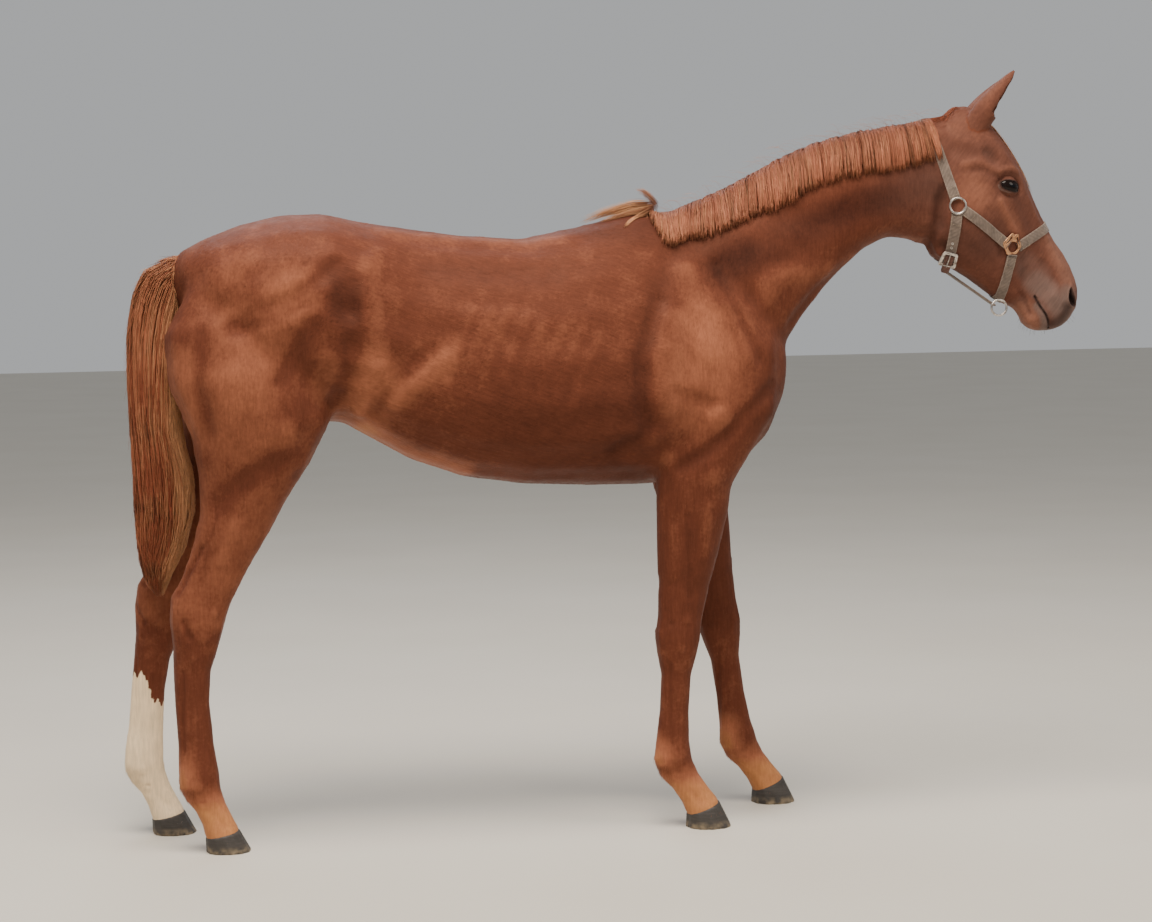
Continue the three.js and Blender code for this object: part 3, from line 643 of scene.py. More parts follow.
def shape_eyelids(points, name):
    """Lays the lids over the eyeball, with a crease above and below, and opens them."""
    facing = eye_facing(name)
    local = facing.local(points)
    reach = LID_REACH * MM
    close = (np.linalg.norm(local[:, :2], axis=1) < EYE_HALF * MM + reach) & (local[:, 2] > 0)
    chosen = np.nonzero(close)[0]
    part = local[chosen]
    gap, nearest = outline_distance(part[:, :2], eye_opening())
    margin = np.abs(gap) < LID_EDGE * MM
    part[margin, :2] = nearest[margin]
    gap[margin] = 0
    lid = ball_height(part[:, :2], LID * MM)
    hold = 1 - fade(gap, 5 * MM, reach)
    outer = part[:, 2] + hold * (lid - part[:, 2])
    above = part[:, 1] > 0
    crease = np.where(above, *CREASE) * MM
    swelling = np.exp(-(((gap - 2 * crease) / (SWELLING_WIDTH * MM)) ** 2))
    outer -= np.where(above, *CREASE_DEPTH) * MM * np.exp(-(((gap - crease) / (CREASE_WIDTH * MM)) ** 2))
    outer += np.where(above, *SWELLING) * MM * swelling
    inner = ball_height(part[:, :2]) - POCKET * MM * fade(-gap, 0, 2.5 * MM) + 0.9 * MM
    part[:, 2] = np.where(gap > 0, outer, np.where(gap < 0, inner, lid - 0.6 * MM))
    points = points.copy()
    points[chosen] = facing.world(part)
    return points


NOSTRIL = (0.938, 0.145)
NOSTRIL_HALF = (11.0, 27.0)
NOSTRIL_BEND = 9.0  # how far its middle is behind its ends
NOSTRIL_DEPTH = 24.0
NOSTRIL_RIM = 2.6


def nostril_facing(drop, side):
    """The facing through the middle of a nostril, which slants across the muzzle."""
    place = drop("head", *NOSTRIL, side)
    return Facing(place, (0.5, side * 0.82, 0.06), -1.25 + math.pi / 2)


def nostril_share(local):
    """0 at a nostril's middle and 1 at its rim."""
    wide, high = (half * MM for half in NOSTRIL_HALF)
    up = local[:, 1] / high
    bend = NOSTRIL_BEND * MM * (up**2 - 0.35)
    width = wide * (1 - 0.28 * np.clip(up, -1, 1))
    return np.hypot((local[:, 0] - bend) / width, up)


def open_nostril(points, facing):
    """Sinks a nostril into the muzzle and raises its rim."""
    local = facing.local(points)
    q = nostril_share(local)
    close = (q < 2.2) & (np.abs(local[:, 2]) < 30 * MM)
    chosen = np.nonzero(close)[0]
    part, q = local[chosen], q[chosen]
    rim = NOSTRIL_RIM * MM * np.exp(-(((q - 1.15) / 0.22) ** 2))
    hole = NOSTRIL_DEPTH * MM * np.sqrt(np.clip(1 - q, 0, 1)) * fade(q, 1.0, 0.93)
    part[:, 2] += rim - hole
    part[:, 1] += 0.5 * hole
    points = points.copy()
    points[chosen] = facing.world(part)
    return points


# ------------------------------------------------------------ markings, with painted light and shade


def side_view(places, node="head"):
    """Places in the side view from their shares of a node."""
    return np.array([spot(node, along, up) for along, up in places])


def blob(points, node, places, radius):
    """1 on a line drawn in the side view, fading to 0 at a radius from it in millimetres."""
    flat = points[:, [0, 2]]
    return 1 - fade(line_distance(flat, side_view(places, node)), 0.2 * radius * MM, radius * MM)


# Places where the coat is lighter, or darker below 0. Most are painted light and shade: painted light on
# the shoulder, the hip, the thigh, the cheek, the facial crest and the bridge of the nose; painted shade
# in the hollow of the flank, on the lower barrel and under the belly, on the chest and the front of the
# neck, under the mane, on the withers and the back, in the groove behind the shoulder, under the jaw,
# over the eye and under the noseband. The tan of the flank's fold, the belly's edge, the thigh's rear
# edge and the chin is the coat's own colour.
COAT_TONES_AND_PAINTED_LIGHT = [
    ("trunk", [(0.31, 0.45), (0.3, 0.26)], 105, 0.27),
    ("trunk", [(0.31, 0.24), (0.38, 0.15), (0.46, 0.09)], 50, 0.42),
    ("trunk", [(0.42, 0.5), (0.36, 0.4)], 90, 0.2),
    ("trunk", [(0.03, 0.5), (0.03, 0.3)], 70, 0.23),
    ("trunk", [(0.86, 0.55), (0.83, 0.35)], 150, 0.3),
    ("trunk", [(0.13, 0.6), (0.11, 0.3)], 170, 0.2),
    ("trunk", [(0.28, 0.7)], 90, -0.2),
    ("trunk", [(0.55, 0.3), (0.7, 0.25)], 200, -0.14),
    ("trunk", [(0.6, 0.02), (0.72, 0.05)], 130, -0.17),
    ("trunk", [(0.74, 0.6), (0.73, 0.3)], 60, -0.06),
    ("trunk", [(0.97, 0.25)], 120, -0.2),
    ("neck", [(0.95, 0.1), (0.6, 0.05)], 120, -0.24),
    ("neck", [(0.95, 0.7), (0.7, 0.62), (0.45, 0.47), (0.2, 0.33)], 75, -0.28),
    ("trunk", [(0.66, 0.98), (0.8, 0.95), (0.9, 0.85)], 100, -0.26),
    ("trunk", [(0.6, 1.0), (0.38, 1.0)], 80, -0.12),
    ("trunk", [(0.2, 0.72)], 110, 0.28),
    ("head", [(0.25, 0.63)], 80, 0.18),
    ("head", [(0.45, 0.56), (0.56, 0.43)], 32, 0.17),
    ("head", [(0.83, 0.42), (0.93, 0.25)], 60, 0.22),
    ("head", [(0.63, 0.09), (0.68, 0.03)], 42, 0.34),
    ("head", [(0.62, 0.8), (0.5, 0.9)], 70, -0.14),
    ("head", [(0.3, 0.4), (0.15, 0.42)], 90, -0.27),
    ("head", [(0.36, 0.8)], 34, -0.17),
    ("head", [(0.6, 0.27)], 30, -0.17),
]
# Grey hair on the muzzle and bare skin on the lips: lines on the head, how far round them, and
# how strong.
MUZZLE = [
    ([(0.62, 0.3), (0.72, 0.24)], 75, 0.4),
    ([(0.82, 0.45), (0.92, 0.28), (0.96, 0.15)], 75, 0.4),
    ([(0.62, 0.1), (0.68, 0.02)], 60, 0.4),
    ([(0.7, 0.22), (0.79, 0.16), (0.87, 0.08)], 62, 0.8),
    ([(0.9, 0.16), (0.93, 0.05)], 52, 0.85),
    ([(0.71, 0.11), (0.745, 0.07), (0.765, 0.01)], 22, 0.9),
]
BARE_LIPS = [(MOUTH, 6, 1.0), ([(0.81, 0.03), (0.86, 0.045), (0.9, 0.1)], 26, 0.7)]
GREY_HEAD = ([(0.2, 0.7), (0.7, 0.4)], 330)
HEAD_GREY = 0.2  # how much of the muzzle's grey runs through the whole head
SOCK_NODES = ("leg_hind_left_cannon", "leg_hind_left_pastern", "hoof_hind_left")
SOCK_FRONT = 0.37  # height of the sock's top at the front and the rear of the cannon, in shares
SOCK_REAR = 0.54
# Painted light low on the hind upper legs and painted shade on the fore upper legs.
HIND_PAINTED_LIGHT, FORE_PAINTED_SHADE = 0.16, -0.1  # of the upper legs
PASTERN_SHADE, FETLOCK_SHADE = 0.85, 0.65


def markings(points, raised):
    """The coat's pattern at each point: its shade, which holds painted light and shade besides the coat's
    own tones, and how much is sock, muzzle and bare skin.
    """
    # Painted shade in the sculpted hollows and painted light on the raised muscle edges.
    shade = np.clip(raised / (30 * MM), -0.16, 0.12)
    for node, places, radius, amount in COAT_TONES_AND_PAINTED_LIGHT:
        margin = 1.0 if node == "trunk" else near_box(points, node, 30 * MM)
        shade = shade + amount * blob(points, node, places, radius) * margin
    sock = np.zeros(len(points))
    for limb in LIMBS:
        low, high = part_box(f"{limb}_upper")
        # Painted light low on the hind upper legs, painted shade on the fore ones.
        upper = near_box(points, f"{limb}_upper", 40 * MM) * fade(points[:, 2], high.z, low.z + 0.2)
        shade = shade + upper * (HIND_PAINTED_LIGHT if "hind" in limb else FORE_PAINTED_SHADE)
        low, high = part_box(f"{limb}_pastern")
        ends = (f"{limb}_pastern", f"hoof{limb[3:]}")
        legs = np.max([near_box(points, node, 25 * MM) for node in ends], 0)
        shade = shade + PASTERN_SHADE * legs * fade(points[:, 2], high.z, low.z + 0.05)
        rear = near_box(points, f"{limb}_cannon", 20 * MM) * fade(points[:, 2], high.z + 0.09, high.z)
        shade = shade + FETLOCK_SHADE * rear * fade(points[:, 0], low.x + 0.07, low.x)
    low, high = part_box(SOCK_NODES[0])
    tall = high.z - low.z
    top = low.z + tall * (
        SOCK_FRONT
        + (SOCK_REAR - SOCK_FRONT) * fade(points[:, 0], low.x + 0.085, low.x + 0.055)
        + 0.03 * np.sin(points[:, 0] * 310) * np.cos(points[:, 1] * 150)
    )
    leg = np.max([near_box(points, node, 30 * MM) for node in SOCK_NODES], 0)
    sock = fade(points[:, 2], top + 7 * MM, top - 7 * MM) * fade(leg, 0.1, 0.9)
    head = near_box(points, "head", 10 * MM)
    muzzle = np.max([amount * blob(points, "head", *spread) for *spread, amount in MUZZLE], 0)
    lips = np.max([amount * blob(points, "head", *spread) for *spread, amount in BARE_LIPS], 0)
    muzzle = np.maximum(muzzle * head, HEAD_GREY * blob(points, "head", *GREY_HEAD))
    return {"shade": shade, "sock": sock, "muzzle": muzzle, "bare": lips * head}


def hair_lie(points):
    """The way the coat lies at each point, before it is laid flat on the skin."""
    low, high = (np.array(corner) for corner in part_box("trunk"))
    neck_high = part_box("neck")[1]
    x, z = points[:, 0], points[:, 2]
    body = np.array([-0.93, 0, -0.36])
    haunch = np.array([-0.5, 0, -0.87])
    shoulder = np.array([-0.42, 0, -0.9])
    face = np.array([0.6, 0, -0.8])
    leg = np.array([0.02, 0, -1.0])
    rear = fade(x, low[0] + 0.5, low[0] + 0.3)[:, None]
    front = fade(x, high[0] - 0.45, high[0] - 0.25)[:, None]
    lie = body + rear * (haunch - body)
    lie = lie + front * (shoulder - lie)
    lie = lie + fade(z, low[2] + 0.12, low[2] - 0.05)[:, None] * (leg - lie)
    head = (fade(x, neck_high.x - 0.06, neck_high.x + 0.02) * near_box(points, "head", 0.03))[:, None]
    return unit(lie + head * (face - lie))


# ------------------------------------------------------------ the skin

BODY_GRID = 13.2  # size of the skin's faces on the trunk, before the finer places are split
FLESH_SWELL, HOOF_SWELL = 0.6, -2.2
FINE_DROP = 0.25  # the legs are finer from this far below the trunk
EYE_FINE, NOSTRIL_FINE = 44.0, 40.0
LIP_FINE = (16.0, 8.0)
EAR_ROOT = 12.0
EAR_ROUNDING = 2
EAR_SWELL = 0.4
EAR_MARGIN = 0.03
EAR_JOINT = (9 * MM, 28 * MM)  # the joint is smoothed most up to the first distance from it
EAR_JOINT_ROUNDS = 12


def close_to(place, radius):
    """A test for points within a radius of a place."""
    return lambda points: np.linalg.norm(points - np.asarray(place), axis=1) < radius


def fine_places(shape):
    """Spheres where the grid is finest: round the eyes, the nostrils and along the mouth."""
    places = []
    for name, side in SIDES.items():
        eye = eye_facing(name)
        places.append((eye.place + eye.out * EYE_BALL[2] * MM, EYE_FINE * MM))
        places.append((nostril_facing(shape.drop, side).place, NOSTRIL_FINE * MM))
    return places


def flesh_shape():
    """One closed skin over all the flesh, smoothed, with a finer grid on the head and lower legs."""
    flesh = bmesh.new()
    fillers = [f"eye_{side}" for side in SIDES] + [f"hoof{limb[3:]}" for limb in LIMBS]
    for name in FLESH + fillers:
        part = node_copy(name)
        swell = HOOF_SWELL if name.startswith("hoof") else FLESH_SWELL
        for vertex in part.verts:
            vertex.co += vertex.normal * (swell * MM)
        mesh = finished(part, name)
        flesh.from_mesh(mesh)
        bpy.data.meshes.remove(mesh)
    outline = BVHTree.FromBMesh(flesh)
    skin = even_grid(flesh, BODY_GRID * MM, "skin")
    trunk_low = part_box("trunk")[0].z

    def is_head(points):
        return near_box(points, "head", 30 * MM) > 0

    def is_fine(points):
        return is_head(points) | (points[:, 2] < trunk_low - FINE_DROP)

    bm_relax(skin, 14, lambda points: np.where(is_fine(points), 0.35, 1.0))
    refine(skin, is_fine)
    pull = np.array([v.co for v in skin.verts])
    for vertex, wanted in zip(skin.verts, is_fine(pull)):
        if wanted:
            vertex.co = outline.find_nearest(vertex.co)[0]
    bm_relax(skin, 9, lambda points: np.where(is_fine(points), 1.0, 0.0))
    bm_relax(skin, 26, lambda points: np.where(is_fine(points), 0.0, 1.0))
    bm_relax(skin, 3, lambda points: np.ones(len(points)))
    draft = bpy.data.meshes.new("draft")
    skin.to_mesh(draft)
    shape = Sculpture(draft)
    for place, radius in fine_places(shape):
        refine(skin, close_to(place, radius * 1.5))
    for place, radius in fine_places(shape):
        refine(skin, close_to(place, radius))
    lips = [shape.drop("head", along, up, side) for side in SIDES.values() for along, up in MOUTH]
    for reach in LIP_FINE:
        refine(
            skin,
            lambda points: np.min([np.linalg.norm(points - p, axis=1) for p in lips], 0) < reach * MM,
        )
    bpy.data.meshes.remove(draft)
    bm_relax(skin, 2, lambda points: is_head(points).astype(float), swell=0.5)
    return finished(skin, "skin")


def ear_shape(name, tree):
    """An ear with rounded faces, its root pushed into the head."""
    bm = node_copy(f"ear_{name}")
    bmesh.ops.join_triangles(
        bm, faces=bm.faces, angle_face_threshold=math.radians(40), angle_shape_threshold=math.pi
    )
    piece = drafted("ear", finished(bm, "ear"))
    rounding = piece.modifiers.new("Rounding", "SUBSURF")
    rounding.levels = EAR_ROUNDING
    mesh = worked(piece)
    points, normals = points_of(mesh), normals_of(mesh)
    points += normals * EAR_SWELL * MM
    order = np.argsort(points[:, 2])
    count = len(points) // 10
    axis = unit(points[order[-count:]].mean(0) - points[order[:count]].mean(0))
    for k, point in enumerate(points):
        gap = tree.find_nearest(Vector(point))[3]
        points[k] -= axis * EAR_ROOT * MM * (1 - fade(gap, 3 * MM, 16 * MM))
    set_points(mesh, points)
    for name, value in (("shade", 0.0), ("sock", 0.0), ("muzzle", 0.9 * HEAD_GREY), ("bare", 0.0)):
        store(mesh, name, np.full(len(points), value))
    return mesh


def join_solid(mesh, other):
    """The union of two closed meshes."""
    piece, second = drafted("joined", mesh), drafted("joining", other)
    union = piece.modifiers.new("Union", "BOOLEAN")
    union.operation = "UNION"
    union.solver = "MANIFOLD"
    union.object = second
    result = worked(piece)
    bpy.data.objects.remove(second)
    return result


def make_skin(settings):
    """The sculpted skin with its eyelids, nostrils, mouth and markings, a painted reflection on the lower
    lids and the markings' painted light and shade among them, but without the ears.
    """
    mesh = flesh_shape()
    shape = Sculpture(mesh)
    sculpt_body(shape)
    depth = settings.depth + (settings.face_depth - settings.depth) * np.maximum(
        near_box(shape.start, "head", 30 * MM), fade(shape.start[:, 2], 0.8, 0.6)
    )
    raised = shape.raised.copy()
    shape.raised -= depth
    nostrils = [nostril_facing(shape.drop, side) for side in SIDES.values()]
    slit = np.zeros(len(raised))
    for side in SIDES.values():
        line = [shape.drop("head", along, up, side) for along, up in MOUTH]
        chosen, strength = shape.near(line, MOUTH_WIDTH * MM, side)
        slit[chosen] = np.maximum(slit[chosen], strength)
    shape.raised -= MOUTH_DEPTH * MM * slit
    points = shape.points()
    holes = np.zeros(len(points))
    for facing in nostrils:
        local = facing.local(points)
        inside = 1 - fade(nostril_share(local), 0.92, 1.12)
        holes = np.maximum(holes, inside * (np.abs(local[:, 2]) < 30 * MM))
        points = open_nostril(points, facing)
    lids, painted_lid_reflection = np.zeros(len(points)), np.zeros(len(points))
    for name in SIDES:
        points = shape_eyelids(points, name)
        local = eye_facing(name).local(points)
        gap = outline_distance(local[:, :2], eye_opening())[0]
        front = local[:, 2] > 0
        lids = np.maximum(lids, (1 - fade(gap, 1.5 * MM, 5 * MM)) * front)
        # Painted reflection: a pale grey band on the wet edge of the lower lid, laid in as grey muzzle
        # hair.
        band = np.exp(-(((gap - 4 * MM) / (1.8 * MM)) ** 2))
        below = fade(-local[:, 1], 2 * MM, 7 * MM) * fade(-local[:, 0], -12 * MM, 4 * MM)
        painted_lid_reflection = np.maximum(painted_lid_reflection, band * below * front)
    set_points(mesh, points)
    marks = markings(points, raised)
    marks["muzzle"] = np.maximum(marks["muzzle"], painted_lid_reflection)
    lids = lids * (1 - painted_lid_reflection)
    marks["bare"] = np.maximum.reduce([marks["bare"], holes, lids, np.minimum(slit * 2, 1)])
    for name, values in marks.items():
        store(mesh, name, values)
    return mesh


def with_ears(mesh):
    """Joins the ears to the skin and smooths the joints."""
    head = mesh_tree(mesh)
    ears = [ear_shape(name, head) for name in SIDES]
    ear_trees = [mesh_tree(ear) for ear in ears]
    for ear in ears:
        mesh = join_solid(mesh, ear)
    points = points_of(mesh)
    boxes = [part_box(f"ear_{name}") for name in SIDES]
    joint = np.zeros(len(points))
    on_ear = np.zeros(len(points))
    for (low, high), tree in zip(boxes, ear_trees):
        low, high = np.array(low) - EAR_MARGIN, np.array(high) + EAR_MARGIN
        for k in np.nonzero(((points > low) & (points < high)).all(1))[0]:
            place = Vector(points[k])
            to_skin = head.find_nearest(place)[3]
            to_ear = tree.find_nearest(place)[3]
            joint[k] = 1 - fade(max(to_skin, to_ear), *EAR_JOINT)
            on_ear[k] = float(to_ear < 0.3 * MM and to_skin > 0.3 * MM)
    points = relax(points, edges_of(mesh), EAR_JOINT_ROUNDS, joint, swell=0.0)
    set_points(mesh, points)
    store(mesh, "ear", on_ear)
    mesh.shade_smooth()
    return mesh


# ------------------------------------------------------------ materials

# Marks that the coat's colour reads; shade holds painted light and shade besides the coat's own tones.
COAT_MARKS = ("shade", "sock", "muzzle", "bare")
BODY_LIE = -0.37  # lean of the hair's streaks on the body, the legs and the face
LEG_LIE = math.pi / 2
FACE_LIE = 0.93


def add_node(tree, kind, inputs=None, stops=(), **settings):
    """Adds a node with its settings, the stops of its colour ramp and its links.

    An input is a value, a node, whose first output is meant, or another output of a node.
    """
    node = tree.nodes.new(kind)
    for key, value in settings.items():
        setattr(node, key, value)
    for _ in stops[2:]:
        node.color_ramp.elements.new(1.0)
    for k, (position, value) in enumerate(stops):
        node.color_ramp.elements[k].position = position
        node.color_ramp.elements[k].color = (*value, 1.0)
    for name, value in (inputs or {}).items():
        socket = next(s for k, s in enumerate(node.inputs) if s.enabled and name in (s.name, k))
        if isinstance(value, bpy.types.Node):
            value = next(output for output in value.outputs if output.enabled)
        if isinstance(value, bpy.types.NodeSocket):
            tree.links.new(value, socket)
        elif socket.type == "RGBA":
            socket.default_value = (*value, 1.0)
        else:
            socket.default_value = value
    return node


def new_material(name):
    """A material without nodes, and its node tree."""
    material = bpy.data.materials.new(name)
    material.use_nodes = True
    material.node_tree.nodes.clear()
    return material, material.node_tree


def dimmed(value, share):
    """A colour at a share of its brightness."""
    return [c * share for c in value]


STREAK = (0.055, 0.006)  # length and width of a streak in the coat, as coarse as shows from 7 m


def streaks(tree, place, lean):
    """Fine streaks along a direction that leans by an angle about the horse's width."""
    long, wide = STREAK
    turned = add_node(tree, "ShaderNodeMapping", {"Vector": place, "Rotation": (0, lean, 0)})
    drawn = add_node(tree, "ShaderNodeMapping", {"Vector": turned, "Scale": (wide / long, 1, 1)})
    return add_node(
        tree,
        "ShaderNodeTexNoise",
        {"Vector": drawn, "Scale": 1 / wide, "Detail": 3.0, "Roughness": 0.65},
    )


def coat_colour(tree, coat, place):
    """The coat's colour from its markings, which hold painted light and shade, with soft mottling; each
    tuft differs a little.
    """
    tone, shade, sock, muzzle, bare = [
        add_node(tree, "ShaderNodeAttribute", attribute_name=name).outputs["Fac"]
        for name in ("tone", *COAT_MARKS)
    ]
    mottle = add_node(tree, "ShaderNodeTexNoise", {"Vector": place, "Scale": 20.0, "Detail": 3.0})
    fine = add_node(tree, "ShaderNodeTexNoise", {"Vector": place, "Scale": 110.0, "Detail": 2.0})
    level = add_node(tree, "ShaderNodeMath", {0: tone, 1: 0.2, 2: shade}, operation="MULTIPLY_ADD")
    level = add_node(tree, "ShaderNodeMath", {0: mottle, 1: 0.34, 2: level}, operation="MULTIPLY_ADD")
    level = add_node(tree, "ShaderNodeMath", {0: fine, 1: 0.22, 2: level}, operation="MULTIPLY_ADD")
    depth = add_node(
        tree, "ShaderNodeMapRange", {"Value": level, "From Min": -0.72, "From Max": 1.28}
    )
    base = add_node(
        tree,
        "ShaderNodeValToRGB",
        {"Fac": depth},
        [(0.2, coat.dark), (0.5, coat.chestnut), (0.74, coat.light), (0.96, coat.tan)],
    )
    edge = add_node(tree, "ShaderNodeMath", {0: fine, 1: 0.5, 2: sock}, operation="MULTIPLY_ADD")
    in_sock = add_node(
        tree, "ShaderNodeMapRange", {"Value": edge, "From Min": 0.6, "From Max": 0.85}
    )
    soiled = add_node(
        tree, "ShaderNodeMapRange", {"Value": mottle, "From Min": 0.3, "From Max": 0.75}
    )
    white = add_node(
        tree,
        "ShaderNodeMix",
        {"Factor": soiled, "A": coat.sock, "B": dimmed(coat.sock, 0.86)},
        data_type="RGBA",
    )
    base = add_node(
        tree, "ShaderNodeMix", {"Factor": in_sock, "A": base, "B": white}, data_type="RGBA"
    )
    grey = add_node(
        tree,
        "ShaderNodeMix",
        {"Factor": soiled, "A": coat.muzzle, "B": dimmed(coat.muzzle, 0.7)},
        data_type="RGBA",
    )
    uneven = add_node(
        tree,
        "ShaderNodeMapRange",
        {"Value": mottle, "From Min": 0.25, "From Max": 0.6, "To Min": 0.75, "To Max": 1.1},
    )
    greyness = add_node(tree, "ShaderNodeMath", {0: muzzle, 1: uneven}, operation="MULTIPLY")
    base = add_node(
        tree, "ShaderNodeMix", {"Factor": greyness, "A": base, "B": grey}, data_type="RGBA"
    )
    base = add_node(
        tree, "ShaderNodeMix", {"Factor": bare, "A": base, "B": coat.bare}, data_type="RGBA"
    )
    return base, bare


def coat_material(coat, name, is_skin):
    """Short summer hair over skin: a satin sheen, streaked along the lie of the hair."""
    material, tree = new_material(name)
    place = add_node(tree, "ShaderNodeTexCoord").outputs["Object"]
    base, bare = coat_colour(tree, coat, place)
    satin = add_node(tree, "ShaderNodeTexNoise", {"Vector": place, "Scale": 33.0, "Detail": 2.0})
    rough = add_node(
        tree,
        "ShaderNodeMapRange",
        {"Value": satin, "From Min": 0.3, "From Max": 0.7, "To Min": 0.5, "To Max": 0.6},
    )
    rough = add_node(tree, "ShaderNodeMix", {"Factor": bare, "A": rough, "B": 0.4})
    surface = {
        "Base Color": base,
        "Roughness": rough,
        "IOR": 1.35,
        "Specular IOR Level": 0.4,
        "Specular Tint": linear("e3a384"),
        "Sheen Weight": 0.03,
        "Sheen Roughness": 0.4,
        "Sheen Tint": linear("e0a48c"),
    }
    if is_skin:
        lie = streaks(tree, place, BODY_LIE)
        for mark, lean in (("down", LEG_LIE), ("face", FACE_LIE)):
            there = add_node(tree, "ShaderNodeAttribute", attribute_name=mark).outputs["Fac"]
            other = streaks(tree, place, lean)
            lie = add_node(tree, "ShaderNodeMix", {"Factor": there, "A": lie, "B": other})
        streaked = add_node(
            tree,
            "ShaderNodeMapRange",
            {"Value": lie, "From Min": 0.3, "From Max": 0.7, "To Min": 0.86, "To Max": 1.12},
        )
        surface["Base Color"] = add_node(
            tree, "ShaderNodeVectorMath", {0: base, "Scale": streaked}, operation="SCALE"
        )
        wrinkles = add_node(
            tree, "ShaderNodeTexNoise", {"Vector": place, "Scale": 250.0, "Detail": 3.0}
        )
        height = add_node(tree, "ShaderNodeMix", {"Factor": bare, "A": lie, "B": wrinkles})
        surface["Normal"] = add_node(
            tree, "ShaderNodeBump", {"Height": height, "Strength": 0.5, "Distance": 0.0016}
        )
    shader = add_node(tree, "ShaderNodeBsdfPrincipled", surface)
    add_node(tree, "ShaderNodeOutputMaterial", {"Surface": shader})
    return material


def floor_material():
    """Matt painted board, almost white, with the faintest mottling."""
    material, tree = new_material("matt_floor_board")
    place = add_node(tree, "ShaderNodeTexCoord").outputs["Object"]
    cloud = add_node(tree, "ShaderNodeTexNoise", {"Vector": place, "Scale": 1.25, "Detail": 4.0})
    base = add_node(
        tree,
        "ShaderNodeMix",
        {"Factor": cloud, "A": linear("c5bfb4"), "B": linear("cec9bf")},
        data_type="RGBA",
    )
    shader = add_node(
        tree, "ShaderNodeBsdfPrincipled", {"Base Color": base, "Roughness": 0.85}
    )
    add_node(tree, "ShaderNodeOutputMaterial", {"Surface": shader})
    return material


# ------------------------------------------------------------ stage

CAMERA_PLACE = (-1.31, -6.894, 1.51)
CAMERA_TURN = math.radians(10)
CAMERA_DROP = math.radians(4.47)
CAMERA_ROLL = math.radians(0.9)
CAMERA_LENS = 83.125
FLOOR_SIZE = 60.0
# Round lamps: name, place, what each is aimed at, width, power in watts and tint.
LAMPS = [
    ("key", (-1.2, -2.2, 6.6), (-0.1, 0, 1.1), 4.4, 760, "fff4e6"),
    ("front", (4.8, -3.6, 4.4), (0.6, 0, 1.3), 3.0, 110, "fff4e6"),
    ("back", (-1.0, 4.0, 6.0), (0, 0, 1.1), 4.0, 130, "eef4ff"),
]
WORLD_LIGHT = 0.5


class HORSE_OT_stage(bpy.types.Operator):
    """Makes the camera, the lamps, the pale world and the floor"""

    bl_idname = "horse.stage"
    bl_label = "Stage"

    def execute(self, context):
        view = bpy.data.cameras.new("camera")
        view.lens = CAMERA_LENS
        view.sensor_width = 36
        view.clip_end = 200
        camera = bpy.data.objects.new("camera", view)
        turn = (
            Matrix.Rotation(-CAMERA_TURN, 4, "Z")
            @ Matrix.Rotation(math.pi / 2 - CAMERA_DROP, 4, "X")
            @ Matrix.Rotation(-CAMERA_ROLL, 4, "Z")
        )
        camera.matrix_world = Matrix.Translation(CAMERA_PLACE) @ turn
        context.scene.collection.objects.link(camera)
        context.scene.camera = camera

        for lamp in LAMPS:
            self.lamp(context, *lamp)
        world = bpy.data.worlds.new("pale_room")
        world.use_nodes = True
        background = world.node_tree.nodes["Background"]
        background.inputs["Color"].default_value = (*linear("f1f3f5"), 1.0)
        background.inputs["Strength"].default_value = WORLD_LIGHT
        context.scene.world = world

        bm = bmesh.new()
        bmesh.ops.create_grid(bm, x_segments=1, y_segments=1, size=FLOOR_SIZE / 2)
        mesh = finished(bm, "floor")
        mesh.materials.append(floor_material())
        drafted("floor", mesh)
        return {"FINISHED"}

    def lamp(self, context, name, place, target, size, power, tint):
        """A round lamp aimed at a place."""
        data = bpy.data.lights.new(name, "AREA")
        data.shape = "DISK"
        data.size = size
        data.energy = power
        data.color = linear(tint)
        lamp = bpy.data.objects.new(name, data)
        lamp.location = place
        aim = Vector(target) - Vector(place)
        lamp.rotation_euler = aim.to_track_quat("-Z", "Y").to_euler()
        context.scene.collection.objects.link(lamp)


class HORSE_OT_skin(bpy.types.Operator):
    """Makes the skin: one closed surface over head, neck, trunk, legs and ears"""

    bl_idname = "horse.skin"
    bl_label = "Skin"

    def execute(self, context):
        coat = context.scene.horse_coat
        mesh = with_ears(make_skin(coat))
        points = points_of(mesh)
        lie = hair_lie(points)
        store(mesh, "tone", np.zeros(len(points)))
        store(mesh, "down", fade(-lie[:, 2], 0.45, 0.8))
        store(mesh, "face", fade(lie[:, 0], 0.1, 0.5))
        mesh.polygons.foreach_set("material_index", np.zeros(len(mesh.polygons), int))
        material = coat_material(coat, "short_summer_coat", True)
        add_object("skin", mesh, material, [*FLESH, *(f"ear_{side}" for side in SIDES)])
        return {"FINISHED"}


# ------------------------------------------------------------ eyes and hooves

PUPIL = (11.0, 5.0)
IRIS = 17.0


